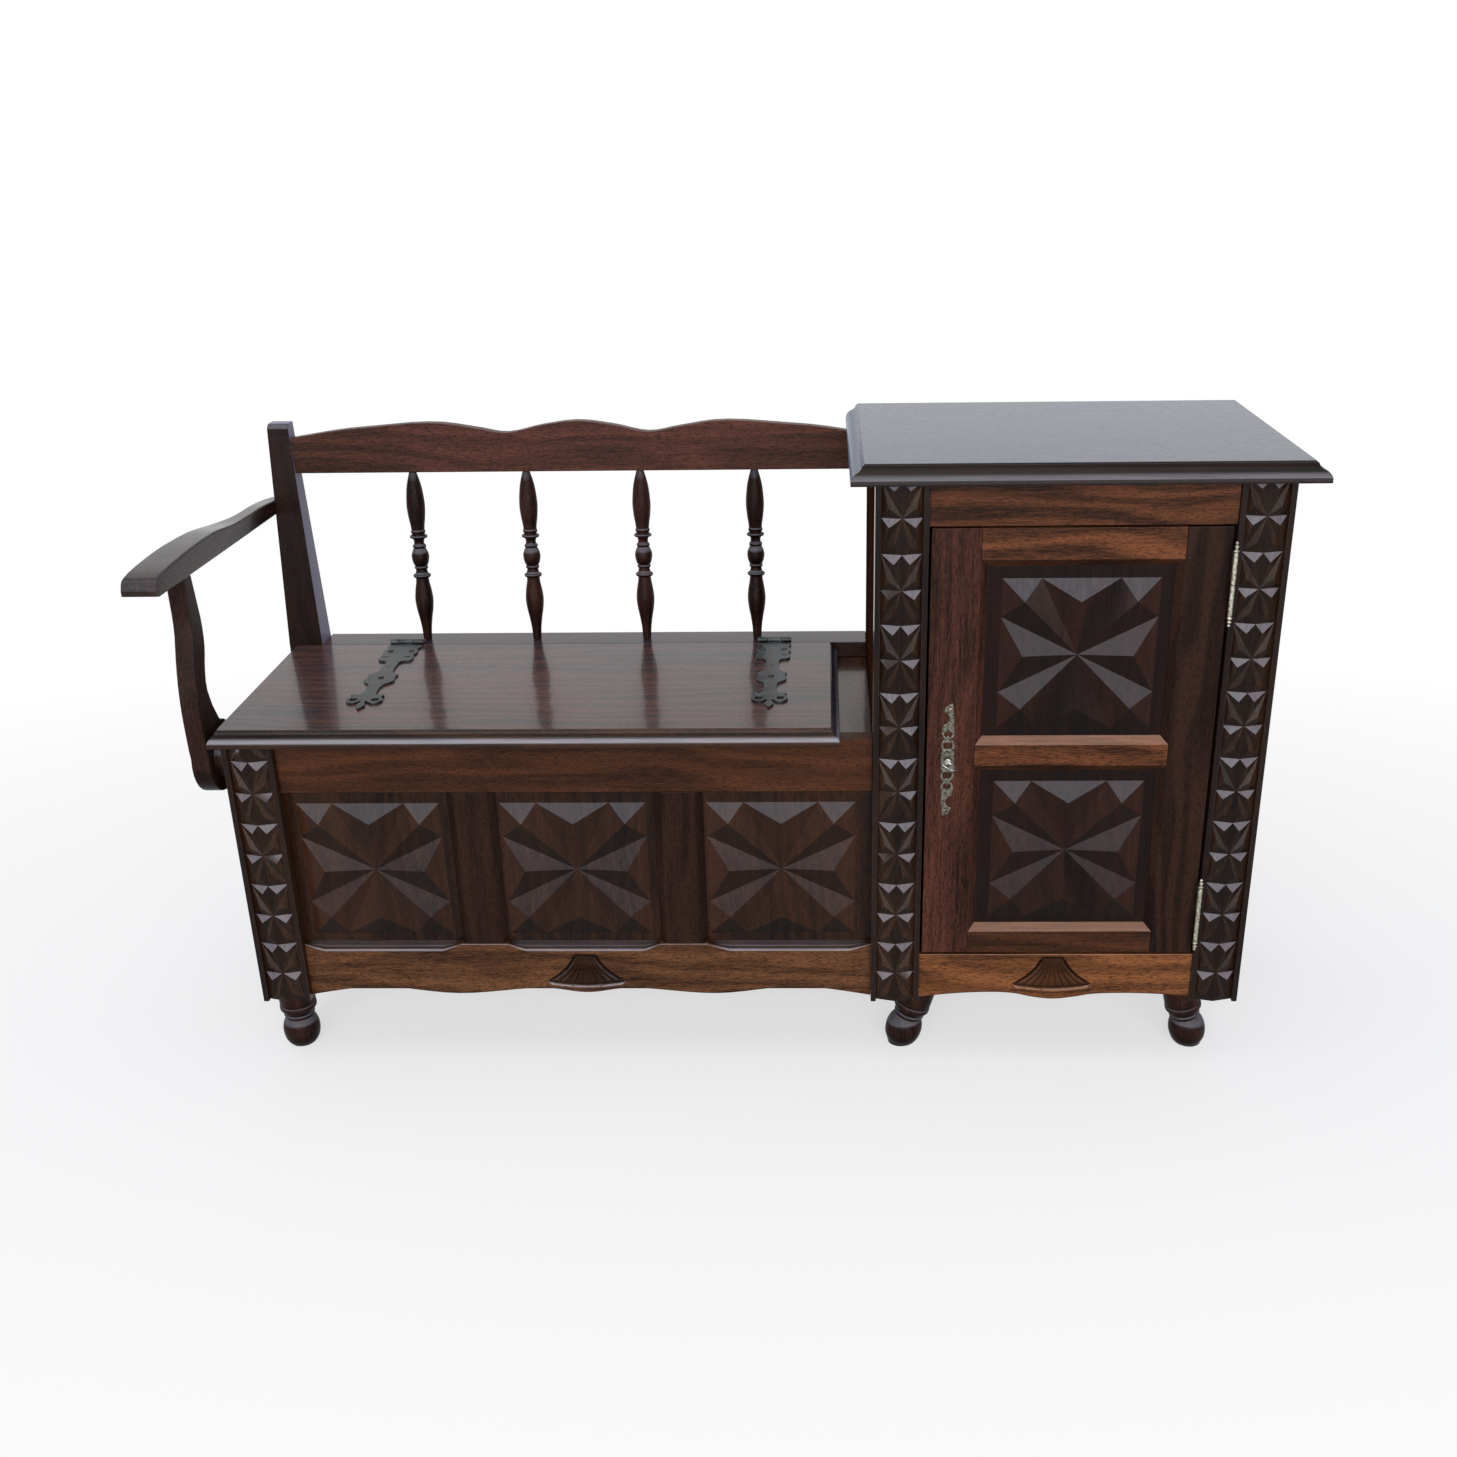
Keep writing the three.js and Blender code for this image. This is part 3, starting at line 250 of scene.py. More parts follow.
# %% Lamps
# each lamp's place, what it points at, its size, its brightness and its colour
LAMPS = {
    "low_front": ((0.2, -5, 0.75), (0.1, 0, 0.4), (7.6, 1.5), 4.6, (0.95, 0.97, 1.0)),
    "high_front": ((0.2, -5, 2.75), (0.1, 0, 0.4), (6.4, 1.3), 6.5, (0.97, 0.98, 1.0)),
    "overhead": ((-0.2, -0.4, 3.2), (0, 0, 0), (3.2, 2.4), 1.6, (1.0, 0.98, 0.95)),
}


def softbox(name, place, target, size, brightness, colour):
    """A rectangular lamp whose face is so many times as bright as white paper."""
    data = bpy.data.lights.new(name, "AREA")
    data.shape = "RECTANGLE"
    data.size, data.size_y = size
    data.energy = brightness * math.pi * size[0] * size[1]
    data.color = colour
    lamp = bpy.data.objects.new(name, data)
    lamp.location = place
    lamp.rotation_mode = "QUATERNION"
    lamp.rotation_quaternion = (Vector(target) - Vector(place)).to_track_quat("-Z", "Y")
    lamp.visible_camera = False
    bpy.context.collection.objects.link(lamp)


for name, settings in LAMPS.items():
    softbox(name, *settings)
print("lamps:", ", ".join(LAMPS))

# %% [markdown]
# Every board of the bench is the same open-pored hardwood. What tells one board from the next is
# its grain: rings cut at a slant give the arched figure, fibres give long streaks, and pores are
# fine dark dashes. The pattern is worked out in space from the board's own coordinates, with the
# grain axis squeezed, so it runs through corners. An image would repeat, and would slide at joints.


# %% Grain
# how finely the grain's parts are drawn along and across a board, in patches to the metre
WANDER, FIBRES, THREADS, PORES = (2.2, 11.0), (12.0, 260.0), (60.0, 760.0), (170.0, 1000.0)
# millimetres between two rings, how they slant through a board and how far they stray
RING_GAP, RING_SLANT, STRAY = 9.0, (0.8, 0.6), 11.0


def noise(paint, place, scale, detail, rough=0.55):
    sockets = {"Vector": place, "Scale": scale, "Detail": detail, "Roughness": rough}
    return paint.node("TexNoise", sockets)


def grain(paint, parts, seed, figure):
    """How warm the stain is, its streaks, its pores as dashes, and the height of the surface."""
    def drawn(fineness, seed, detail, rough=0.55):
        along, across = fineness
        place = paint.node("CombineXYZ", {
            0: parts[0] * along + seed * 3.7,
            1: parts[1] * across + seed * 1.3,
            2: parts[2] * across - seed * 2.1,
        })
        return noise(paint, place, 1.0, detail, rough)

    wander, fibres = drawn(WANDER, seed, 2.0), drawn(FIBRES, seed, 4.0, 0.75)
    threads, pores = drawn(THREADS, seed + 9, 2.0), drawn(PORES, seed + 5, 1.0)
    depth = parts[1] * RING_SLANT[0] + parts[2] * RING_SLANT[1]
    tilt = depth * (1000 / RING_GAP) + wander * STRAY
    arches = paint.spread((tilt * math.pi).math("SINE"), -0.6, 1.0)
    streaks = paint.spread(fibres, 0.28, 0.70)
    lines = paint.spread(threads, 0.34, 0.64)
    clouds = paint.spread(wander, 0.36, 0.64)
    shade = streaks * (0.44 - 0.4 * figure) + lines * 0.26 + arches * figure + clouds * 0.3
    dashes = paint.spread(pores, 0.54, 0.64)
    height = fibres * 0.3 + lines * 0.1 - dashes * 0.5
    return paint.spread(shade, 0.22, 0.86), streaks, dashes, height


print("grain ready, rings", RING_GAP, "mm apart")

# %% [markdown]
# A dark brown stain and wax cover the wood. The stain is darkest in pores, and hollows are darker,
# partly stain lying deeper and partly painted shade. Faces that look down get painted shade, cuts
# that face sideways a warmer painted light, and faces that look up at a slant a pale painted sheen
# of the sky with some dust. Each of these could be painted by hand on every board. Here they come
# from the slope of a face and from how sharp or hollow a place is, so all boards follow the same
# rules.


# %% Stain, wax and painted light
AXES = {"x": (0, 1, 2), "y": (1, 2, 0), "z": (2, 0, 1)}
# what is left of the dark colour at its darkest, and its share in pores, in hollows as stain
# and painted shade, as painted shade on faces that look down and as painted shade on mouldings
DARKEST_SHARE, IN_PORES, STAIN_AND_SHADE_IN_HOLLOWS, SHADE_LOOKING_DOWN, SHADE_ON_MOULDINGS = 0.22, 0.62, 0.9, 0.62, 0.7


def stained_wood(name, dark, warm, axis, seed, figure, polish, coat, dust_and_sheen, carved, painted_sky_haze,
                 round_under):
    """A board's finish: two stain colours, the way its grain runs, its wax, painted shade and sheen.
    """
    paint = Finish(name)
    dark, warm = linear(dark), linear(warm)
    # places in the board: along the grain, and the two directions across it
    place = paint.split(paint.node("TexCoord", out="Object"))
    parts = [place[i] for i in AXES[axis]]
    warmth, streaks, dashes, height = grain(paint, parts, seed, figure)
    stain = paint.mix(warmth, dark, warm)
    darkest_stain_and_shade = tuple(v * DARKEST_SHARE for v in dark[:3]) + (1,)
    # pores keep the most stain; hollows are darker, partly stain lying deeper and partly painted
    # shade
    worked = paint.node("Attribute", out="Fac", attribute_name="hollow")
    hollow = worked
    if carved or coat:
        edge = paint.node("NewGeometry", out="Pointiness")
        hollow = hollow.math("MAXIMUM", paint.spread(edge, 0.5, 0.43, 0.0, 0.75))
    colour = paint.mix((dashes * IN_PORES).math("MAXIMUM", hollow * STAIN_AND_SHADE_IN_HOLLOWS), stain, darkest_stain_and_shade)
    # painted light: cuts that face sideways are lit warmer; painted shade: the flat ground facing
    # front is darkened
    side, front, up = paint.split(paint.node("TexCoord", out="Normal"))
    if carved:
        painted_light_on_cuts, painted_shade_on_ground = carved
        colour = paint.mix(paint.spread(front * -1, 0.985, 0.998) * painted_shade_on_ground, colour, darkest_stain_and_shade)
        cut = paint.spread(side.math("ABSOLUTE"), 0.06, 0.24)
        colour = paint.mix(cut * painted_light_on_cuts, colour, warm)
    # painted shade on facets that face down; painted sheen of the sky, with some dust, on those that
    # face up at a slant
    slanting = paint.spread(up, -0.97, -0.85)
    shaded = paint.spread(up, -0.03, -0.22, 0.0, SHADE_LOOKING_DOWN) * slanting
    colour = paint.mix(shaded, colour, darkest_stain_and_shade)
    amount, slopes, tone, *sideways = dust_and_sheen
    slant = paint.spread(up, *slopes)
    if round_under:
        # painted shade on a moulding under a waxed top, but for a painted line of light on its round
        shaded = paint.spread(up, 0.975, 0.9) * slanting * SHADE_ON_MOULDINGS
        colour = paint.mix(shaded, colour, darkest_stain_and_shade)
        low_part = paint.spread(parts[2], round_under, round_under - 2 * MM)
        slant = slant * paint.spread(up, 0.84, 0.6) * low_part
    else:
        slant = slant * paint.spread(up, 0.97, 0.86)
    if sideways:
        slant = slant * paint.spread(side.math("ABSOLUTE"), *sideways[0])
    # painted sheen of the sky with some dust, and on carved ridges real wear, all in one pale colour
    sheen_dust_and_wear = slant * amount * (0.7 + streaks * 0.5) * (1 - worked)
    if carved:
        sheen_dust_and_wear = sheen_dust_and_wear + paint.spread(edge, 0.56, 0.64, 0.0, 0.04)
    colour = paint.mix(sheen_dust_and_wear, colour, linear(tone))
    # painted reflection of the sky, as a haze on wax seen along the board, but not on the front of a
    # post
    if painted_sky_haze:
        strength, sky = painted_sky_haze
        grazing = paint.node("LayerWeight", {"Blend": 0.5}, out="Facing")
        beside = paint.spread(front.math("ABSOLUTE"), 0.9, 0.5)
        share = paint.spread(grazing ** 4 * strength * beside, 0, 0.75, 0, 0.75)
        colour = paint.mix(share, colour, linear(sky))
    # mouldings keep less of the top coat
    if coat:
        coat = paint.spread(up, 0.9, 0.98, 0.1 if round_under else 0.35, 1.0) * coat
    roughness, shine = polish
    rough = paint.spread(streaks + dashes * 0.6, 0.0, 1.5, roughness, roughness + 0.16)
    return paint.surface(colour, rough, (height, 0.16, 0.0005), {
        "Specular IOR Level": shine, "Coat Weight": coat, "Coat Roughness": 0.1})


print("stain and wax ready")

# %% [markdown]
# A packed board has knife-sharp corners and short flats along its curves. A real one was sanded
# and has been dusted for years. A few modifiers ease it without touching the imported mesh: they weld
# the corners, join coplanar facets and bevel what is still sharp. A node group then shades gentle
# bends as smooth. Carved facets stay flat, so they skip the last.


# %% Eased boards
GENTLE_BEND, FLAT_BEND, SHARP_BEND = (math.radians(angle) for angle in (30, 1.5, 28))
WELD_REACH = 0.02 * MM


def smooth_group():
    """A geometry group that shades faces smooth but keeps edges sharper than a gentle bend."""
    group = bpy.data.node_groups.new("smooth_gentle_bends", "GeometryNodeTree")
    for way in ("INPUT", "OUTPUT"):
        group.interface.new_socket("Geometry", in_out=way, socket_type="NodeSocketGeometry")
    start, end, faces, edges, angle, sharp = (group.nodes.new(kind) for kind in (
        "NodeGroupInput", "NodeGroupOutput", "GeometryNodeSetShadeSmooth",
        "GeometryNodeSetShadeSmooth", "GeometryNodeInputMeshEdgeAngle", "FunctionNodeCompare"))
    edges.domain = "EDGE"
    edges.inputs["Shade Smooth"].default_value = False
    sharp.data_type = "FLOAT"
    sharp.operation = "GREATER_THAN"
    sharp.inputs[1].default_value = GENTLE_BEND
    for source, target in ((angle.outputs["Unsigned Angle"], sharp.inputs[0]),
                           (start.outputs[0], faces.inputs["Geometry"]),
                           (faces.outputs[0], edges.inputs["Geometry"]),
                           (sharp.outputs[0], edges.inputs["Selection"]),
                           (edges.outputs[0], end.inputs[0])):
        group.links.new(source, target)
    return group


GENTLE = smooth_group()


def even_out(obj):
    """Keeps broad faces flat beside their rounded edges, so that they mirror straight."""
    even = obj.modifiers.new("even_shading", "WEIGHTED_NORMAL")
    even.keep_sharp = True


def ease(obj, width, carved):
    """Eases the sharp corners of a board, by a width in millimetres."""
    obj.modifiers.new("weld", "WELD").merge_threshold = WELD_REACH
    flats = obj.modifiers.new("join_flats", "DECIMATE")
    flats.decimate_type = "DISSOLVE"
    flats.angle_limit = FLAT_BEND
    round_over = obj.modifiers.new("round_over", "BEVEL")
    round_over.width = width * MM
    round_over.segments = 2
    round_over.limit_method = "ANGLE"
    round_over.angle_limit = SHARP_BEND
    if not carved:
        obj.modifiers.new("smooth", "NODES").node_group = GENTLE
        even_out(obj)


def dress(node, material):
    """Gives a carried-over node its finish."""
    mesh = nodes[node].data
    mesh.materials.clear()
    mesh.materials.append(material)


print("easing ready:", GENTLE.name)

# %% [markdown]
# The stain took differently on every board: rails came out a warm chestnut, stiles and panels
# darker, the door's hinge stile almost black. One finish for all would look like plastic, so each
# family of boards has its own two colours, its own grain direction and its own figure.


# %% Colours of the boards
INK = (17, 10, 8)
DARK = (26, 15, 11)
BROWN = (38, 22, 14)
TOBACCO = (74, 43, 27)
CHESTNUT = (104, 61, 38)
UMBER = (44, 27, 20)
RUSSET = (74, 39, 30)
PLUM = (54, 31, 25)

# each family's grain axis, its dark and its warm colour, and how strong its figure is
BOARDS = {
    "front_post": ("z", INK, (56, 37, 26), 0.12),
    "foot": ("z", INK, PLUM, 0.2),
    "chest_top_rail": ("x", BROWN, TOBACCO, 0.25),
    "chest_bottom_rail": ("x", BROWN, (95, 62, 40), 0.25),
    "chest_muntin": ("z", INK, UMBER, 0.2),
    "chest_panel": ("z", INK, (53, 31, 20), 0.2),
    "chest_ledge": ("y", DARK, TOBACCO, 0.3),
    "hinge_strip": ("x", DARK, RUSSET, 0.2),
    "back_post": ("z", INK, (36, 22, 17), 0.2),
    "crest_rail": ("x", BROWN, (84, 48, 38), 0.2),
    "spindle": ("z", INK, PLUM, 0.2),
    "seat_lid": ("x", DARK, (88, 52, 32), 0.35),
    "armrest": ("y", INK, PLUM, 0.2),
    "arm_support": ("z", INK, (46, 29, 24), 0.2),
    "cabinet_top_board": ("x", DARK, PLUM, 0.4),
    "cabinet_top_rail": ("x", BROWN, (92, 54, 34), 0.35),
    "cabinet_bottom_rail": ("x", BROWN, (118, 73, 43), 0.3),
    "door_lock_stile": ("z", DARK, (80, 46, 35), 0.12),
    "door_hinge_stile": ("z", INK, UMBER, 0.55),
    "door_top_rail": ("x", BROWN, CHESTNUT, 0.4),
    "door_middle_rail": ("x", BROWN, CHESTNUT, 0.25),
    "door_bottom_rail": ("x", BROWN, TOBACCO, 0.25),
    "door_panel": ("z", INK, (44, 22, 15), 0.2),
}
PLAIN_FIGURE = 0.25


def family(table, node, plain=None):
    """What a table says of the first family that the node's name starts with."""
    return next((value for key, value in table.items() if node.startswith(key)), plain)


print("families of boards:", len(BOARDS))

# %% [markdown]
# Wear is uneven too. Hands polish the seat, the arm and the top. Slanting facets of the carving and
# worn edges get a pale painted sheen of the sky, with some dust, and the tops mirror the sky in their
# coat and in a painted haze. It could be painted over the whole bench at once, but wear and sheen
# belong to each board, so they stand here in one table of each kind.

# %% Wear and painted sheen of the boards
# colours of the painted sheen and highlights, the grey one with some dust
GREY_DUST_AND_SHEEN, SILVER_SHEEN, WARM_SHEEN = (146, 146, 156), (176, 172, 180), (190, 146, 124)
# how strong the pale painted sheen of the sky, with some dust, is on slanting faces, between
# which slopes it sets in, and its colour; on the posts it needs a sideways slope too, as the
# small triangles have it and the rays don't
LOW_SLOPE, STEEP_SLOPE = (0.17, 0.27), (0.3, 0.4)
DUST_AND_SHEEN_OF_FAMILIES = {
    "front_post": (0.24, (0.15, 0.19), SILVER_SHEEN, (0.19, 0.23)),
    "door_panel_upper": (0.19, LOW_SLOPE, GREY_DUST_AND_SHEEN),
    "door_panel_lower": (0.12, LOW_SLOPE, GREY_DUST_AND_SHEEN),
    "chest_panel": (0.11, LOW_SLOPE, GREY_DUST_AND_SHEEN),
    "door": (0.32, STEEP_SLOPE, WARM_SHEEN),
    "seat_lid": (0.42, (0.22, 0.32), SILVER_SHEEN),
    "cabinet_top_board": (0.22, (0.22, 0.32), SILVER_SHEEN),
    "armrest": (0.1, STEEP_SLOPE, GREY_DUST_AND_SHEEN),
    "chest_bottom_rail": (0.42, STEEP_SLOPE, SILVER_SHEEN),
    "cabinet_bottom_rail": (0.4, STEEP_SLOPE, WARM_SHEEN),
}
PLAIN_DUST_AND_SHEEN = (0.26, STEEP_SLOPE, GREY_DUST_AND_SHEEN)
# the share of top coat on what hands and cloths polish, and the painted reflection of the sky seen
# along a board as a haze, with its strength and colour
WAXED = {"seat_lid": 0.45, "cabinet_top_board": 0.4, "armrest": 0.39, "hinge_strip": 0.36,
         "chest_ledge": 0.36}
# colours of the painted reflection of the sky
SKY, DUSK = (149, 188, 238), (165, 158, 184)
PAINTED_SKY_HAZES = {"seat_lid": (0.14, SKY), "cabinet_top_board": (0.3, SKY), "hinge_strip": (0.14, SKY),
         "back_post": (2.2, DUSK)}
# tops with a moulding under them, and how high on the board the moulding's round ends
MOULDED, ROUND_SHARE = ("seat_lid", "cabinet_top_board"), 0.62
# inside faces and sides that were never polished
MATT = ("cabinet_partition", "cabinet_side", "chest_side", "cabinet_rear", "cabinet_back")
# carved pieces: how much painted light their sideways cuts get and how much painted shade the flat
# ground between them
CARVED = {"front_post": (0.1, 0.6), "chest_panel": (0.34, 0.2), "door_panel": (0.3, 0.6)}
# roughness and shine of a top coat, of carving, of unpolished wood and of all else
COATED, CUT, DULL, RUBBED = (0.2, 0.1), (0.13, 0.1), (0.5, 0.0), (0.28, 0.05)
print("families with a bloom of their own:", len(DUST_AND_SHEEN_OF_FAMILIES))

# %% [markdown]
# Each board now gets its finish. Its seed is the place in the tree that it was sawn from, so no two
# boards share a grain. Its corners are eased as well, less on the carving, which was cut crisp.


# %% Finish for each board
UPRIGHT = ("panel", "back_board", "partition", "post")
# how far corners are eased on carving and on plain boards, in millimetres
CARVED_EASE, PLAIN_EASE = 0.5, 1.0
METAL = ("lid_strap", "strip_leaf", "post_knuckle", "door_knuckle", "escutcheon", "lock", "key")


def board_wood(node, number):
    """The finish of one board, from its family's colours and its own seed."""
    axis = "z" if any(word in node for word in UPRIGHT) else "y" if "side" in node else "x"
    unlisted = (axis, DARK, TOBACCO, PLAIN_FIGURE)
    axis, dark, warm, figure = family(BOARDS, node, unlisted)
    coat, carved = WAXED.get(node, 0.0), family(CARVED, node)
    polish = COATED if coat else CUT if carved else DULL if node.startswith(MATT) else RUBBED
    round_under = None
    if node in MOULDED:
        heights = [point[2] for point in nodes[node].bound_box]
        round_under = min(heights) + ROUND_SHARE * (max(heights) - min(heights))
    return stained_wood(node + "_wood", dark, warm, axis, number * 1.9 + 1, figure, polish, coat,
                        family(DUST_AND_SHEEN_OF_FAMILIES, node, PLAIN_DUST_AND_SHEEN), carved, PAINTED_SKY_HAZES.get(node), round_under)


wooden = [name for name in nodes if not name.startswith(METAL)]
for number, name in enumerate(sorted(wooden)):
    carved = name.startswith(tuple(CARVED))
    dress(name, board_wood(name, number))
    ease(nodes[name], CARVED_EASE if carved else PLAIN_EASE, carved)
print("boards finished:", len(wooden))

# %% [markdown]
# Iron, brass and nickel follow. The strap hinges are sheet iron, blackened and rubbed down, so they
# are a dark satin with a faint hammered surface. The lock plate is old brass gone grey, the door
# hinges are a paler brass and the key is worn nickel, each dull in patches and bright between them.


# %% Iron and brass
def iron():
    paint = Finish("black_iron")
    place = paint.node("TexCoord", out="Object")
    dents = noise(paint, place, 260.0, 3.0)
    stains = noise(paint, place, 60.0, 4.0)
    share = paint.spread(stains, 0.4, 0.65)
    colour = paint.mix(share, linear((30, 32, 35)), linear((74, 78, 80)))
    rough = paint.spread(stains, 0.35, 0.7, 0.34, 0.52)
    return paint.surface(colour, rough, (dents, 0.25, 0.0004), {"Metallic": 0.55})


def brass(name, dull, bright):
    paint = Finish(name)
    tarnish = noise(paint, paint.node("TexCoord", out="Object"), 300.0, 4.0, 0.65)
    colour = paint.mix(paint.spread(tarnish, 0.38, 0.62), linear(dull), linear(bright))
    rough = paint.spread(tarnish, 0.35, 0.7, 0.44, 0.22)
    return paint.surface(colour, rough, (tarnish, 0.15, 0.0003), {"Metallic": 0.9})


IRON = iron()
BRASS = brass("old_brass", (44, 42, 36), (124, 121, 108))
KEY_METAL = brass("worn_nickel", (112, 110, 104), (196, 194, 188))
PALE_BRASS = brass("pale_brass", (104, 100, 86), (190, 186, 170))
for name in nodes:
    if name.startswith(METAL):
        dress(name, IRON if name.startswith(("lid_strap", "strip_leaf", "lock_case")) else BRASS)
print("metals ready:", *(m.name for m in (IRON, BRASS, KEY_METAL, PALE_BRASS)))

# %% [markdown]
# Now the pieces that a plain solid can't carry. Turned ones come first. A turned piece is one
# outline spun round an axis. The outline comes in runs, smooth within a run and sharp between two,
# as a turner rolls a bead and then cuts a crisp step. A Screw modifier would spin it too, but it
# couldn't tell the two kinds of edges apart.


# %% Turning
def smooth_run(points, steps=6, closed=False):
    """More points on a smooth curve through a few."""
    count = len(points)
    if count < 3:
        return [tuple(p) for p in points]

    def pick(i):
        return Vector(points[i % count] if closed else points[min(max(i, 0), count - 1)])

    made = []
    for i in range(count if closed else count - 1):
        p0, p1, p2, p3 = (pick(i + k) for k in (-1, 0, 1, 2))
        square, cube = 2 * p0 - 5 * p1 + 4 * p2 - p3, 3 * p1 - p0 - 3 * p2 + p3
        for step in range(steps):
            t = step / steps
            made.append(tuple(0.5 * (2 * p1 + (p2 - p0) * t + square * t ** 2 + cube * t ** 3)))
    return made if closed else made + [tuple(points[-1])]


def circle(count):
    """Angles all round, a few or many."""
    return [2 * math.pi * k / count for k in range(count)]


def skin(work, rings, closed=False):
    """Joins rings of points, or single points, by faces and closes both ends."""
    for low_ring, high_ring in zip(rings, rings[1:]):
        for k in range(max(len(low_ring), len(high_ring))):
            corners = [low_ring[k % len(low_ring)], low_ring[(k + 1) % len(low_ring)],
                       high_ring[(k + 1) % len(high_ring)], high_ring[k % len(high_ring)]]
            corners = list(dict.fromkeys(corners))
            if len(corners) > 2:
                work.faces.new(corners)
    for ring in (rings[0], rings[-1]):
        if len(ring) > 1 and not closed:
            work.faces.new(ring)
    return work


def cleaned(work, reach=0):
    """The same mesh with places within a reach joined and all its faces turned outward."""
    if reach:
        bmesh.ops.remove_doubles(work, verts=work.verts, dist=reach)
    bmesh.ops.recalc_face_normals(work, faces=work.faces)
    return work


def turned(runs, sides=40, closed=False):
    """A mesh spun round Z from runs of (radius, height), or from one closed outline."""
    outline = runs[0] if closed else [point for run in runs for point in smooth_run(run)]
    work = bmesh.new()
    rings = []
    for radius, height in outline:
        angles = [0] if radius < 1e-7 else circle(sides)
        rings.append([work.verts.new((radius * math.cos(a), radius * math.sin(a), height))
                      for a in angles])
    return cleaned(skin(work, rings + rings[:1] if closed else rings, closed), 1e-7)


print("turning ready")

# %% [markdown]
# A piece may be made of several such meshes, as a hinge is of a sheet, a barrel and screws. They
# could stay separate objects, but one object for each real piece is what a body can carry.


# %% Putting pieces together
def spin(angle, axis):
    return Matrix.Rotation(angle, 4, axis)


def moved(work, place, *turns):
    """The same mesh turned, by the last turn first, and then carried to a place."""
    matrix = Matrix.Translation(place)
    for turn in turns:
        matrix = matrix @ turn
    work.transform(matrix)
    return work


def piece(node, ending, works, material, body, smooth_by=35):
    """One object from a few meshes, shaded, finished, fixed to its body in place of a node."""
    mesh = bpy.data.meshes.new(node + ending)
    whole = bmesh.new()
    for work in works:
        work.to_mesh(mesh)
        work.free()
        whole.from_mesh(mesh)
    for face in whole.faces:
        face.smooth = True
    bend = math.radians(smooth_by)
    for edge in whole.edges:
        edge.smooth = len(edge.link_faces) == 2 and edge.calc_face_angle() < bend
    whole.to_mesh(mesh)
    whole.free()
    mesh.materials.append(material)
    obj = bpy.data.objects.new(node + ending, mesh)
    bpy.context.collection.objects.link(obj)
    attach(obj, body)
    even_out(obj)
    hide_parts(node)


def own_wood(node):
    return nodes[node].data.materials[0]


print("pieces can be put together")

# %% [markdown]
# The spindles are turned with two long bulbs and a group of beads and flanges between them. They
# stand in the leaning plane of the back. Their outline is read from the photograph as shares of
# the length and of the widest radius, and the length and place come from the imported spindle.

# %% Spindles
SPINDLE = [
    [(0, 0.40), (0.05, 0.67), (0.104, 0.87), (0.19, 1), (0.26, 0.91), (0.306, 0.78), (0.336, 0.72)],
    [(0.339, 0.76), (0.347, 0.80), (0.356, 0.75)],
    [(0.358, 0.70), (0.368, 0.72)],
    [(0.369, 0.90), (0.376, 0.98), (0.384, 0.90)],
    [(0.386, 0.66), (0.40, 0.57), (0.414, 0.55), (0.424, 0.61)],
    [(0.426, 0.69), (0.434, 0.74), (0.442, 0.69)],
    [(0.445, 0.66), (0.468, 0.86), (0.495, 0.96), (0.529, 0.86), (0.552, 0.67)],
    [(0.554, 0.71), (0.561, 0.75), (0.568, 0.70)],
    [(0.571, 0.61), (0.588, 0.66), (0.60, 0.76)],
    [(0.602, 0.90), (0.609, 0.98), (0.618, 0.91)],
    [(0.624, 0.71), (0.65, 0.74), (0.697, 0.9), (0.754, 1), (0.811, 0.91), (0.872, 0.70),
     (0.933, 0.54), (1, 0.46)],
]
SPINDLE_RADIUS = 12 * MM
LEAN = math.radians(4)


def spindle(node):
    low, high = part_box(node)
    end = SPINDLE_RADIUS * SPINDLE[-1][-1][1]
    length = (high.z - low.z - SPINDLE_RADIUS * math.sin(LEAN)) / math.cos(LEAN)
    runs = [[(wide * SPINDLE_RADIUS, (1 - along) * length) for along, wide in run]
            for run in SPINDLE]
    foot = ((low.x + high.x) / 2, low.y + end, low.z + end * math.sin(LEAN))
    turning = moved(turned(runs), foot, spin(-LEAN, "X"))
    piece(node, "_turned", [turning], own_wood(node), "root")


for number in range(1, 5):
    spindle(f"spindle_{number}")
print("spindles turned: 4")

# %% [markdown]
# The feet are turned too: a plain drum under the post, a thin bead, and a ball flattened where it
# meets the floor. Two of the three stand splayed, because their dowels were bored out of true or
# have worked loose, so each is sawn level at the floor and at the post.

# %% Feet
FOOT = [
    [(0.45, -0.12), (0.70, 0.0), (0.84, 0.05), (0.95, 0.12), (1.0, 0.22), (0.97, 0.30),
     (0.88, 0.37), (0.76, 0.42)],
    [(0.74, 0.425), (0.74, 0.45)],
    [(0.78, 0.455), (0.84, 0.475), (0.78, 0.495)],
    [(0.80, 0.50), (0.88, 0.53), (0.96, 0.565)],
    [(0.99, 0.575), (1.0, 0.60), (0.99, 0.63)],
    [(0.93, 0.64), (0.93, 0.665)],
    [(0.975, 0.68), (0.98, 0.72), (0.98, 0.9), (0.98, 1.15)],
]
FOOT_RADIUS, FOOT_HEIGHT, FOOT_TOP = 23.5 * MM, 93 * MM, 92.8 * MM
FOOT_Y, FOOT_Z = 53, 46.5
# where each foot stands along the front, and by how many degrees it leans
FOOT_PLACES = {"foot_left": (22, 0), "foot_middle": (827, 17), "foot_right": (1183.5, -12.8)}


def sawn(work, height, up):
    """Cuts a mesh off level at a height and closes the cut."""
    geometry = work.verts[:] + work.edges[:] + work.faces[:]
    cut = bmesh.ops.bisect_plane(work, geom=geometry, plane_co=(0, 0, height), plane_no=(0, 0, up),
                                 clear_outer=True)
    rim = [item for item in cut["geom_cut"] if isinstance(item, bmesh.types.BMEdge)]
    bmesh.ops.holes_fill(work, edges=rim, sides=0)
    return work


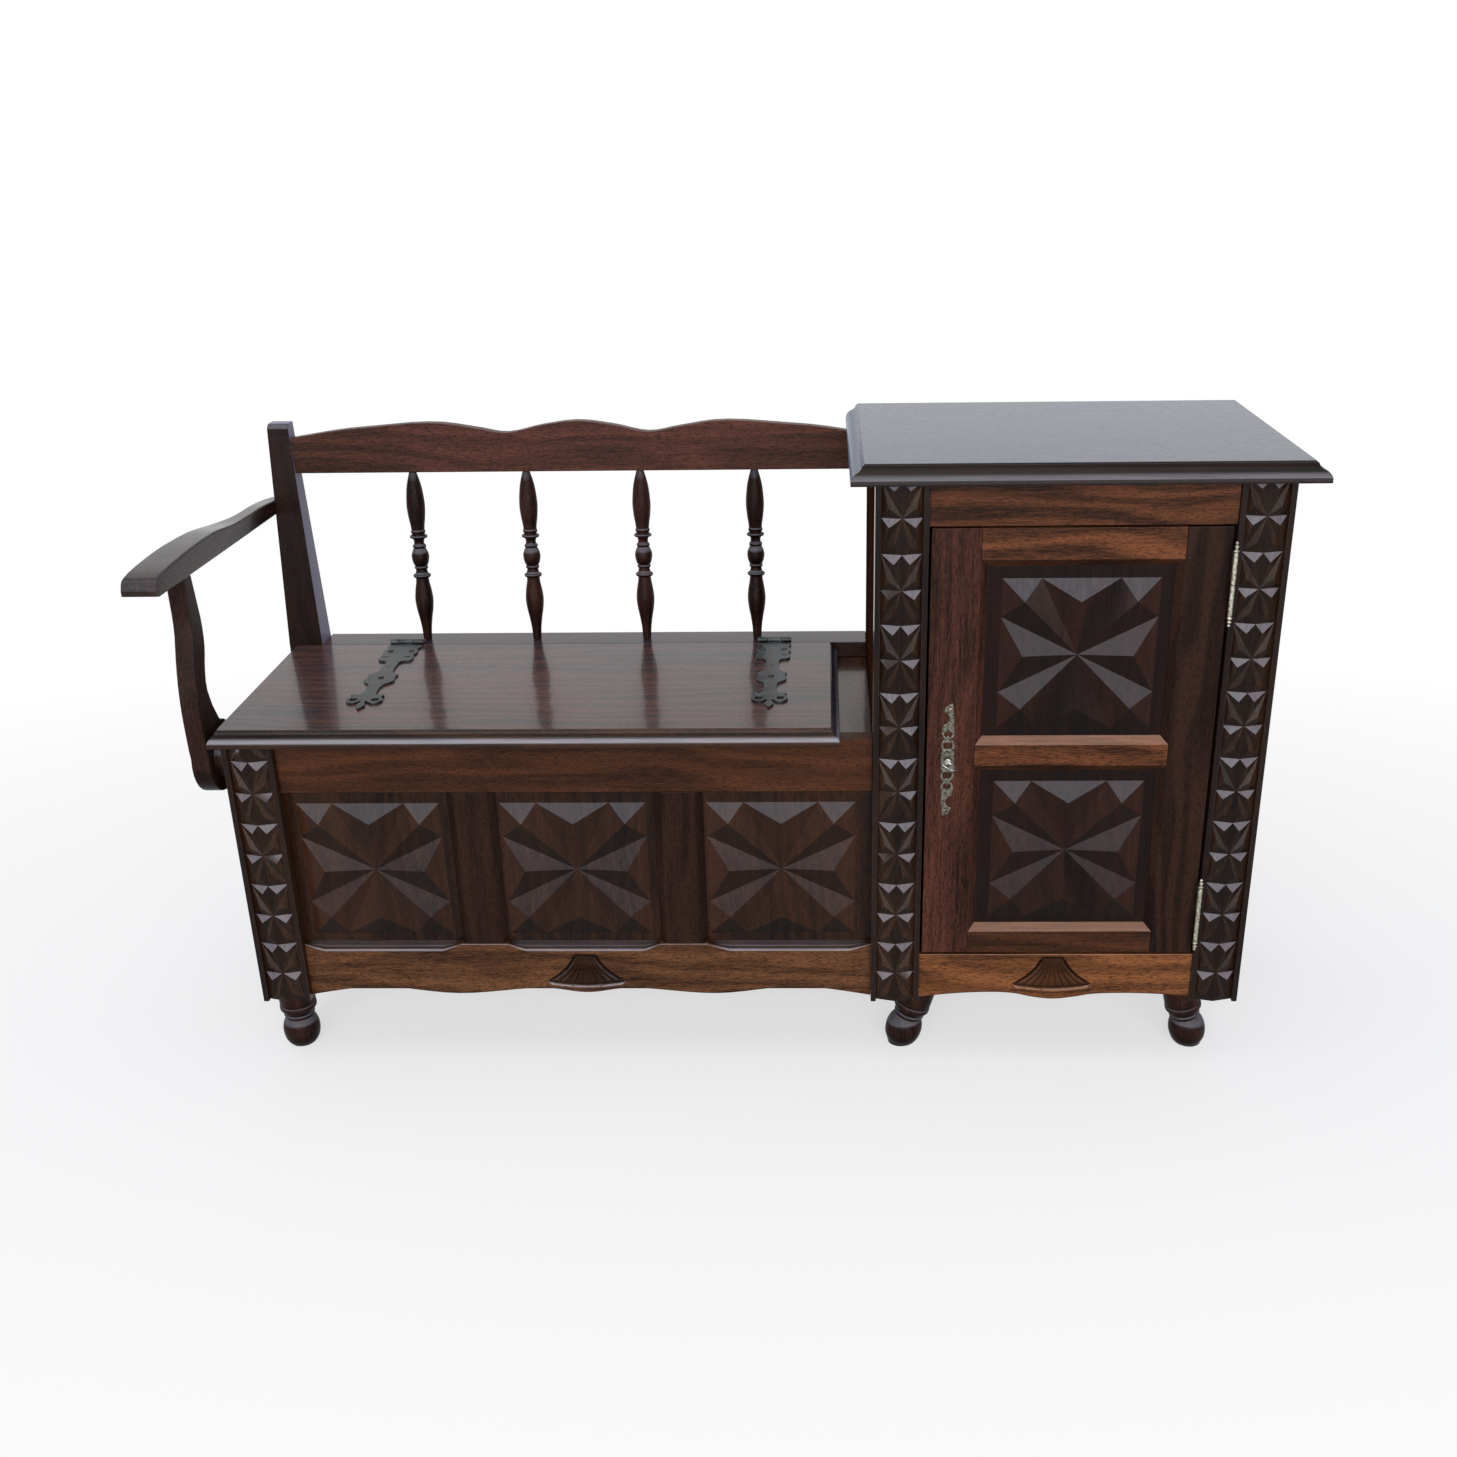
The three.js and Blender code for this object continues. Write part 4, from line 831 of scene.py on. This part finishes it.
for node, (x, lean) in FOOT_PLACES.items():
    runs = [[(wide * FOOT_RADIUS, (high - 0.5) * FOOT_HEIGHT) for wide, high in run]
            for run in FOOT]
    foot = moved(turned(runs, 56), at(x, FOOT_Y, FOOT_Z), spin(math.radians(lean), "Y"))
    foot = sawn(sawn(foot, 0, -1), FOOT_TOP, 1)
    piece(node, "_turned", [foot], own_wood(node), "root")
print("feet turned:", len(FOOT_PLACES))

# %% [markdown]
# The arm was sawn to its curve seen from above, then its top was shaped with a spokeshave: thick
# at the nose, hollow before the post. Cutting it from a block would take many passes, so it is a
# loft: a rounded section carried from the nose to the post while its width and height change.


# %% Lofts
def lofted(rings, hollows=()):
    """A closed skin over rings of places, and how much their first ones are darkened, as stain and
    painted shade.
    """
    work = bmesh.new()
    layer = work.verts.layers.float.new("hollow") if hollows else None
    rows = [[work.verts.new(place) for place in ring] for ring in rings]
    for row, depths in zip(rows, hollows):
        for vert, deep in zip(row, depths):
            vert[layer] = deep
    return cleaned(skin(work, rows))


def height_on(line, place):
    """The value of a broken line at a place along it."""
    for (x0, y0), (x1, y1) in zip(line, line[1:]):
        if place <= x1:
            return y0 + (y1 - y0) * (place - x0) / (x1 - x0)
    return line[-1][1]


def rounded_section(x0, x1, z0, z1, radius, steps=4):
    """A rectangle with quarter-round corners, as a list of (x, z)."""
    corners = [(x1 - radius, z0 + radius, -90), (x1 - radius, z1 - radius, 0),
               (x0 + radius, z1 - radius, 90), (x0 + radius, z0 + radius, 180)]
    turns = [(x, z, math.radians(start + 90 * k / steps))
             for x, z, start in corners for k in range(steps + 1)]
    return [(x + radius * math.cos(a), z + radius * math.sin(a)) for x, z, a in turns]


print("lofts ready")

# %% [markdown]
# Two lines read from the photograph drive the arm. One gives its width seen from above and the
# other its thickness seen from the side, both as shares, so the arm follows its few main sizes.

# %% Armrest
ARM_NOSE, ARM_BACK, ARM_INNER, ARM_LINE = -70, 345, -9.7, -9.5
# the arm's width, its underside at the post and at the nose, and its top with what it swells by
ARM_WIDE, ARM_WIDEST, ARM_UNDER, ARM_DROP, ARM_TOP, ARM_SWELL = 40, 40.1, 644, 7, 663, 15.5
ARM_ROUND, ARM_SECTIONS = 2.6, 100
# shares of the length against shares of the width, and of the swelling
ARM_PLAN = [(0, 0.97), (0.05, 1), (0.217, 1), (0.4, 0.89), (0.58, 0.76), (0.7, 0.54), (0.8, 0.5),
            (0.94, 0.5), (1, 0.31)]
ARM_CROWN = [(0, -0.19), (0.015, 0.45), (0.05, 0.68), (0.1, 0.81), (0.17, 0.9), (0.29, 1),
             (0.41, 0.97), (0.48, 0.84), (0.61, 0.45), (0.75, 0.32), (0.84, 0.26), (0.94, 0.06),
             (1, 0)]

plan, crown = smooth_run(ARM_PLAN, 8), smooth_run(ARM_CROWN, 8)
rings = []
for step in range(ARM_SECTIONS + 1):
    # sections lie closer together at the nose, where the arm is rounded off
    share = (step / ARM_SECTIONS) ** 1.3
    y = ARM_NOSE + share * (ARM_BACK - ARM_NOSE)
    wide = min(ARM_WIDEST, ARM_WIDE * height_on(plan, share))
    under = ARM_UNDER + ARM_DROP * (1 - share) + max(0, 3 * (1 - share / 0.024))
    top = ARM_TOP + ARM_SWELL * height_on(crown, share)
    radius = ARM_ROUND * min(1, 0.35 + share * 22)
    section = rounded_section(ARM_LINE - wide, ARM_INNER, under, top, radius)
    rings.append([at(x, y, z) for x, z in section])
piece("armrest", "_shaped", [lofted(rings)], own_wood("armrest"), "root")
print("armrest shaped")

# %% [markdown]
# Both bottom rails carry a fan-shaped shell, cut with gouges. A picture of relief would stay flat
# seen from the side, so the shell is real relief: its ribs stand out, the grooves round it are
# pushed in, and each place also says how much the finish darkens it, most in the grooves and
# valleys, as stain lying deeper and as painted shade.


# %% Shell
SHELL_TALL, SHELL_SAG, SHELL_RISE, RIBS = 35, 5, 3.0, 9


def bump_at(value, middle, half):
    """A round bump, 1 at its middle and 0 at its ends."""
    off = (value - middle) / half
    return math.sqrt(1 - off * off) if abs(off) < 1 else 0.0


def shell_relief(across, below):
    """How far the face stands out, in millimetres, and how much it is darkened, from 0 to 1, as stain
    and painted shade.
    """
    down = below / SHELL_TALL
    for _ in range(4):
        reach = min(max(down, 0), 1.25)
        half = 12.5 + 9.5 * reach + 23 * reach ** 2
        spread = across / half
        down = below / (SHELL_TALL + SHELL_SAG * (1 - min(spread * spread, 1)))
    # the groove over the shell's top
    if down < 0 or down > 1.3:
        groove = bump_at(below, -1.0, 1.8) if abs(across) < 14 else 0.0
        return -0.9 * groove, groove
    # the grooves along its sides
    if abs(spread) > 1:
        past = (abs(spread) - 1) * half if down < 1.04 else 9
        return -1.2 * bump_at(past, 1.2, 1.6), bump_at(past, 1.0, 3.4) ** 0.4
    # the lip under it, with a groove between
    if down > 1:
        past = (down - 1) * SHELL_TALL
        fade = min(1, (1 - abs(spread)) * 5)
        groove = bump_at(past, 1.0, 1.5)
        return fade * (2.0 * bump_at(past, 5.0, 2.8) - 1.2 * groove), groove
    # the ribs, which end round at the bottom
    place = (spread + 1) / 2 * RIBS
    rib = bump_at(place % 1, 0.5, 0.53)
    round_end = min(1.0, math.sqrt(max(0.0, (1 - down) / 0.07)))
    # the whole shell is darkened, most in the valleys, as stain and painted shade
    valley = (1 - rib ** 1.5) * 0.95
    lift = (0.1 + (SHELL_RISE - 0.1) * rib ** 0.8) * round_end * min(1.0, 0.55 + down * 2)
    return lift, max(0.8, valley, 1 - round_end)


print("shell ready:", RIBS, "ribs")

# %% [markdown]
# Each rail is one section carried from end to end, a loft like the arm. Its lower edge follows the
# wave, its face takes up the shell's relief, and the chest's rail has a sill cut along its top in
# three bays. Sculpting would do for one rail, but a section keeps straight edges straight.


# %% Rail sections
RAIL_BACK, FACE_ROWS, SILL_ROWS = 30, 60, 14
# half the width that the shell takes up
SHELL_REACH = 52
# a sill is cut deepest over twice this length, and is so wide from front to back
SILL_FLAT, SILL_WIDE, PLAIN_EDGE = 75, 9.9, 0.6


def sill_depth(x, bays):
    """How deep the sill over a rail is cut at x; it slopes at both ends of a bay."""
    for start, end in bays:
        if start <= x <= end:
            slope = (end - start) / 2 - SILL_FLAT
            return 2 + 10 * min((x - start) / slope, (end - x) / slope, 1)
    return 0.0


def rail_section(x, foot, face, top, sill, shell, rebate):
    """The places round a rail at x, and how much those on its face and sill are darkened, as stain
    and painted shade.
    """
    edge = top - max(sill, PLAIN_EDGE)
    points = [(RAIL_BACK, foot), (face + 1.2, foot), (face + 0.35, foot + 0.35)]
    depths = [0, 0, 0]
    across = x - shell[0]
    for k in range(FACE_ROWS + 1):
        z = foot + 1.2 + (edge - foot - 1.2) * k / FACE_ROWS
        out, deep = shell_relief(across, shell[1] - z) if abs(across) < SHELL_REACH else (0, 0)
        points.append((face - out, z))
        depths.append(deep)
    width = SILL_WIDE if sill else PLAIN_EDGE
    for k in range(1, SILL_ROWS + 1):
        s = k / SILL_ROWS
        lift, deep = 0, 0
        if sill:
            lift = (1.3 * bump_at(s, 0.16, 0.17) - 0.7 * bump_at(s, 0.38, 0.07)
                    + 0.5 * bump_at(s, 0.52, 0.09))
            # the sill is darkened behind its bead, as stain and painted shade
            deep = 0.1 if s < 0.3 else 0.7 if 0.46 < s < 0.58 else 0.9
        points.append((face + width * s - lift * 0.6, edge + (top - edge) * s + lift * 0.7))
        depths.append(deep)
    if rebate:
        step_y, step_z = rebate
        points += [(step_y, top), (step_y, step_z), (RAIL_BACK, step_z)]
    else:
        points.append((RAIL_BACK, top))
    return [at(x, y, z) for y, z in points], depths


print("rail sections ready:", FACE_ROWS, "rows on a face")

# %% [markdown]
# The sections lie close together over the shell and where a sill begins, and far apart elsewhere,
# because a plain stretch needs few. The two rails differ only in their wave, sizes and sill.


# %% Bottom rails
def both_sides(half):
    """An outline and its mirror image; a place on the line between them stays single."""
    return half + [(-x, y) for x, y in reversed(half) if x]


CHEST_WAVE = both_sides([(-1.03, 0.06), (-0.75, 1), (-0.457, 0.35), (-0.168, 0.87), (0, 0.45)])
CABINET_WAVE = [(-1.03, 0.27), (-0.75, 0.8), (-0.48, 1), (-0.3, 0.85), (-0.15, 0.35), (0, 0.1),
                (0.15, 0.35), (0.3, 0.75), (0.55, 0.85), (0.8, 0.7), (1.03, 0.3)]
# how far apart sections lie on the shell, how many lie there, and how far apart they lie elsewhere
FINE_STEP, FINE_STEPS, STEP = 0.65, 161, 5
WAVE_LEVEL = 93


def carved_rail(node, span, face, top, wave, shell, bays=(), rebate=None):
    """A bottom rail: a wave with its middle, half length and height, and a shell's place."""
    outline, middle, half, rise = wave
    line = smooth_run([(middle + u * half, WAVE_LEVEL + v * rise) for u, v in outline])
    start, end = span
    stations = [start + k * STEP for k in range(int((end - start) / STEP) + 1)] + [end]
    stations += [edge + off for bay in bays for edge in bay for off in (-0.05, 0.05)]
    stations += [shell[0] - SHELL_REACH + k * FINE_STEP for k in range(FINE_STEPS)]
    sections = [rail_section(x, height_on(line, x), face, top, sill_depth(x, bays), shell, rebate)
                for x in sorted(set(round(s, 3) for s in stations if start <= s <= end))]
    work = lofted(*zip(*sections))
    piece(node, "_carved", [work], own_wood(node), "root", 40)


CHEST_BAYS = [(60.2, 257.7), (318.7, 509.3), (570.3, 773.8)]
CHEST_REBATE = (20, 163)
carved_rail("chest_bottom_rail", (60.2, 773.8), 10, 171, (CHEST_WAVE, 414, 360, 15.5), (414, 153),
            CHEST_BAYS, CHEST_REBATE)
carved_rail("cabinet_bottom_rail", (834.2, 1173.8), 4, 159, (CABINET_WAVE, 1004, 170, 11),
            (1001, 152))
print("bottom rails carved: 2")

# %% [markdown]
# Hinges and lock plate are sheet metal, sawn and filed. A plate is a closed outline with holes. It
# could be cut out with booleans, but a filled curve with thickness and a small bevel does the same
# with clean edges.


# %% Plates
def metres(line, flip=1):
    """An outline in millimetres, as it is or turned half round, in metres."""
    return [(x * MM * flip, y * MM * flip) for x, y in line]


def disc_line(radius, x, y, count, stretch):
    """A closed round or oval outline, given in millimetres."""
    return metres([(x + radius * stretch * math.cos(a), y + radius * math.sin(a))
                   for a in circle(count)])


def plate(outline, holes, thick, ease_by):
    """A flat sheet in XY, centred on Z, as a bmesh."""
    curve = bpy.data.curves.new("plate", "CURVE")
    curve.dimensions = "2D"
    curve.fill_mode = "BOTH"
    curve.extrude = thick / 2 - ease_by
    curve.bevel_depth = ease_by
    curve.bevel_resolution = 2
    curve.offset = -ease_by
    for line in [outline, *holes]:
        spline = curve.splines.new("POLY")
        spline.points.add(len(line) - 1)
        for point, (x, y) in zip(spline.points, line):
            point.co = (x, y, 0, 1)
        spline.use_cyclic_u = True
    shape = bpy.data.objects.new("plate", curve)
    bpy.context.collection.objects.link(shape)
    mesh = bpy.data.meshes.new_from_object(shape)
    work = bmesh.new()
    work.from_mesh(mesh)
    bpy.data.objects.remove(shape)
    bpy.data.curves.remove(curve)
    bpy.data.meshes.remove(mesh)
    return cleaned(work, 1e-6)


print("plates ready")

# %% [markdown]
# Screws hold the strap hinges. Each head is a low disc with two half-moons on it, so that the slot
# between them is a real one. Knuckles and bars are short drums with eased ends.


# %% Screws and bars
SLOT = math.asin(0.16)
ALONG_X = spin(math.pi / 2, "Y")


def screw(radius, place, turn_by, high):
    """A slotted screw head that faces up, its radius and height given in millimetres."""
    turn = spin(turn_by, "Z")
    drum = [[(0, 0), (radius, 0)], [(radius, high * 0.35), (0, high * 0.35)]]
    works = [moved(turned([metres(run) for run in drum], 28), place, turn)]
    angles = [SLOT + (math.pi - 2 * SLOT) * k / 16 for k in range(17)]
    moon = metres([(radius * math.cos(a), radius * math.sin(a)) for a in angles])
    lift = Matrix.Translation((0, 0, high * 0.62 * MM))
    for flip in (0, math.pi):
        half = plate(moon, [], high * 0.75 * MM, 0.3 * high * MM)
        works.append(moved(half, place, turn, lift, spin(flip, "Z")))
    return works


def barrel(length, radius, end=0.5):
    """A short drum along Z with eased ends, in millimetres."""
    run = [(radius - end, 0), (radius - 0.3 * end, 0.3 * end), (radius, end)]
    over = [(x, length - z) for x, z in reversed(run)]
    runs = [[(0, 0), run[0]], run, [run[-1], over[0]], over, [over[-1], (0, length)]]
    return turned([metres(part) for part in runs], 32)


print("screws and bars ready")

# %% [markdown]
# The lid hangs on two strap hinges cut from sheet iron: a broad tab with lobed edges, a waist, a
# pair of lobes half-way, and two open curls beside a pointed end. The outline is one half read
# from the photograph and mirrored. The tab carries the middle knuckle and rides with the lid. The
# two outer knuckles belong to a leaf on the fixed strip behind.

# %% Strap hinges
STRAP_HALF = [
    (22.3, 5), (22.3, 12), (20, 18), (19.6, 22), (22.3, 27), (22.4, 37), (20, 41), (19.8, 45),
    (22.3, 50), (22.3, 60), (19.5, 66), (12, 68), (8.6, 74), (8, 88), (8.6, 102), (11, 111),
    (16, 116.5), (19.3, 119), (17.4, 125), (18, 133), (19.4, 141), (15.5, 148), (9.8, 154),
    (8, 163), (7.8, 177), (9, 187), (13, 192), (16.4, 189.4), (19.8, 190.2), (20.8, 193.5),
    (18.6, 196.4), (18.8, 199), (22.2, 205), (21.8, 212), (17.5, 218), (11.5, 219.4), (6.6, 216),
    (4.2, 212.5), (2.6, 216), (4.4, 221), (5.6, 226), (3.4, 232), (0, 239),
]
# heights above the floor: the middle and the top of the sheet, the tongue, and the pin
SHEET_Z, SHEET_TOP, TONGUE_Z, PIN_Z = 471.4, 472.55, 471.45, 474
# where the strap's outline starts behind the front, and how far the pin lies inside its end
STRAP_START, PIN_INSET = 293.5, 3.7
SHEET_THICK, KNUCKLE = 2.4 * MM, 3.65
LEAF = [(-22.4, 4), (22.4, 4), (22.4, 15.8), (9.6, 15.8), (8.2, 13.8), (-8.2, 13.8), (-9.6, 15.8),
        (-22.4, 15.8)]


def strap_hinge(side):
    strap, leaf = "lid_strap_" + side, "strip_leaf_" + side
    low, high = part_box(strap)
    middle_x, pin_y = (low.x + high.x) / 2, high.y - PIN_INSET * MM

    def by_pin(x, y, z):
        """A place in millimetres from the pin's middle, but at its height above the floor."""
        return middle_x + x * MM, pin_y + y * MM, z * MM

    def sheet(line, z=SHEET_Z):
        return moved(plate(metres(line), [], SHEET_THICK, 0.3 * MM), by_pin(0, 0, z))

    outline = both_sides(smooth_run([(u * MM, -v * MM) for u, v in STRAP_HALF], 3))
    holes = [disc_line(1.4, x, -52, 20, 3.2) for x in (-14.5, 14.5)]
    holes += [disc_line(5.0, x, -208, 24, 0.95) for x in (-13.4, 13.4)]
    holes.append(disc_line(1.3, 0, -92, 20, 1))
    # the outline runs forward from a little in front of the pin
    start_y = at(0, STRAP_START, 0).y
    works = [moved(plate(outline, holes, SHEET_THICK, 0.35 * MM),
                   (middle_x, start_y, SHEET_Z * MM))]
    for x, v, angle in ((-14, 29, 0.5), (14, 29, 2.1), (0, 130, 0.2)):
        place = (middle_x + x * MM, start_y - v * MM, SHEET_TOP * MM)
        works += screw(3.6, place, angle, 1.3)
    # the middle knuckle and the tongue that joins it to the sheet
    works.append(moved(barrel(19, KNUCKLE), by_pin(-9.5, 0, PIN_Z), ALONG_X))
    works.append(sheet([(-9.5, -7), (9.5, -7), (9.5, 0), (-9.5, 0)], TONGUE_Z))
    piece(strap, "_iron", works, IRON, "lid")

    works = [sheet(LEAF)]
    for way, start in ((-1, -22.4), (1, 9.9)):
        end = start + 12.5
        works += screw(2.8, by_pin(way * 15.5, 10, SHEET_TOP), 0.8 * way, 1.1)
        works.append(moved(barrel(12.5, KNUCKLE), by_pin(start, 0, PIN_Z), ALONG_X))
        works.append(sheet([(start, 0), (end, 0), (end, 6), (start, 6)]))
    piece(leaf, "_iron", works, IRON, "root")


for side in ("left", "right"):
    strap_hinge(side)
print("strap hinges cut: 2")

# %% [markdown]
# The door turns on two loose-pin hinges of brass. What shows of each is a slim barrel in two
# halves with a ball and a smaller ball at either end, so the door can be lifted off its pins.

# %% Door hinges
FINIAL = [
    [(2.2, 0), (2.1, 1.0)], [(2.7, 1.3), (3.4, 2.2), (3.3, 3.6), (2.3, 4.6)],
    [(1.5, 5.0), (1.4, 5.8)], [(2.0, 6.2), (2.7, 7.2), (2.6, 8.6), (1.7, 9.5)],
    [(1.2, 9.8), (1.2, 10.2)],
    [(1.6, 10.5), (2.0, 11.6), (1.7, 12.8), (0.9, 13.7), (0, 14)],
]


def finial(up):
    return turned([[(r * MM, z * MM * up) for r, z in run] for run in FINIAL], 28)


# the pin's place, the length and radius of a half, and each half's leaf
PIN_X, PIN_Y, HALF_LONG, HALF_RADIUS = 1172.5, -5, 35.7, 2.8
HALF_LEAF = [(0, 0), (27, 0), (27, 35.4), (0, 35.4)]
STAND = Matrix(((0, 0, 1), (1, 0, 0), (0, 1, 0))).to_4x4()
# where each half and its finial start above the pin's foot, its leaf's place, and its way up
HALVES = {"post": ("root", 14, 14, 1173.4, -1), "door": ("door", 50.3, 86, 1171.6, 1)}


def door_hinge(level, low_z):
    for part, (body, start, end, leaf_x, up) in HALVES.items():
        leaf = plate(metres(HALF_LEAF), [], 1.1 * MM, 0.2 * MM)
        works = [moved(barrel(HALF_LONG, HALF_RADIUS, 0.4), at(PIN_X, PIN_Y, low_z + start)),
                 moved(finial(up), at(PIN_X, PIN_Y, low_z + end)),
                 moved(leaf, at(leaf_x, PIN_Y, low_z + start), STAND)]
        piece(f"{part}_knuckle_{level}", "_brass", works, PALE_BRASS, body)


door_hinge("upper", 590)
door_hinge("lower", 170)
print("door hinges made: 2")

# %% [markdown]
# The escutcheon is a thin cast plate, pierced and the same when turned upside down: a hook, a
# heart and a ring above the keyhole, and their mirror images below. Two round pins hold it. One
# long edge of it is drawn point by point, and the other is the same edge turned half round.

# %% Escutcheon
LOBES = [(7.5, 33.5), (5.8, 29), (3.7, 26.7), (6.3, 25), (7.9, 21), (7.9, 16.5), (6.4, 12.8),
         (7.8, 10.6), (7.6, 5)]
ESCUTCHEON_HALF = [
    (3.4, 72.4), (5.4, 69), (5.2, 64.5), (6.2, 58), (6.9, 52), (6.6, 46.5), (6.5, 42.5),
    (7.3, 38.5), *LOBES, (7.9, 0), *((x, -y) for x, y in reversed(LOBES)), (7.2, -38.5), (6, -43),
    (5.6, -45.2), (1.4, -48), (-0.6, -52), (-0.3, -56.5), (2.4, -60), (5.2, -61.2), (4.8, -64.5),
    (3.2, -68), (0.2, -70.4),
]
HEART = both_sides([(0, 39.2), (1.5, 36.6), (4.4, 35), (4.6, 32), (2.6, 30), (0, 31.6)])
RING = both_sides([(0, 23), (4, 22.4), (5.2, 19), (4.2, 15.6), (0, 15.2)])
KEYHOLE = both_sides([(0, 3.2), (2.3, 2.2), (3.2, 0), (1.7, -2.6), (1.4, -8.5)])
PIN_DOME = [(0, 1.1), (1.3, 0.8), (2.1, 0.1), (2.2, -0.4)]
LOCK_X, LOCK_Z = 862, 424
TO_FRONT, TO_BACK = spin(math.pi / 2, "X"), spin(-math.pi / 2, "X")

half = smooth_run(metres(ESCUTCHEON_HALF), 3)
outline = half[:-1] + [(-x, -y) for x, y in half[:-1]]
holes = [smooth_run(metres(line, flip), 4, True) for line in (HEART, RING) for flip in (1, -1)]
holes.append(smooth_run(metres(KEYHOLE), 4, True))
cast = plate(outline, holes, 1.2 * MM, 0.45 * MM)
works = [moved(cast, at(LOCK_X, 3.15, LOCK_Z), TO_FRONT)]
for flip in (1, -1):
    dome = turned([metres(PIN_DOME)], 24)
    works.append(moved(dome, at(LOCK_X + flip * 1.6, 2.7, LOCK_Z + flip * 65), TO_FRONT))
    bar = barrel(11, 0.9)
    works.append(moved(bar, at(LOCK_X - 5.5, 2.9, LOCK_Z + flip * 12.9), ALONG_X))
piece("escutcheon", "_brass", works, BRASS, "door")
print("escutcheon cast, holes:", len(holes))

# %% [markdown]
# The key stays in the lock, its bow tipped. It is a ring with collars on a round shank, all turned,
# and a flat bit with a notch, which the lock hides. It rides on its own body, so it can turn.

# %% Key
KEY_SHANK = [[(2.2, -3), (2.5, -2)], [(3.6, -1.8), (3.9, -1), (3.6, -0.2)], [(2.6, 0), (2.6, 0.8)],
             [(3.2, 1), (3.4, 1.4), (3.2, 1.8)], [(2.4, 2), (2.4, 35.4)], [(2.0, 36), (0, 36)]]
KEY_BIT = [(1.5, 28), (12.6, 28), (12.6, 31), (10, 31), (10, 32.5), (12.6, 32.5), (12.6, 35.5),
           (1.5, 35.5)]
# how far the ring lies in front of the door, its radius, and its thickness across and along
BOW_Y, BOW_RADIUS, BOW_THICK = -12, 9.5, (1.45, 1.25)
tilt = spin(math.radians(26), "Y")
section = [(BOW_RADIUS + BOW_THICK[0] * math.cos(a), BOW_THICK[1] * math.sin(a))
           for a in circle(14)]
bow = turned([metres(section)], 48, True)
shank = turned([metres(run) for run in KEY_SHANK], 28)
bit = plate(metres(KEY_BIT), [], 2 * MM, 0.2 * MM)
works = [moved(bow, at(LOCK_X, BOW_Y, LOCK_Z), tilt),
         moved(shank, at(LOCK_X, 0, LOCK_Z), TO_BACK),
         moved(bit, at(LOCK_X, 0, LOCK_Z), tilt)]
piece("key", "_brass", works, KEY_METAL, "key")
print("key made, bow radius:", BOW_RADIUS, "mm")

# %% Last update
bpy.context.view_layer.update()
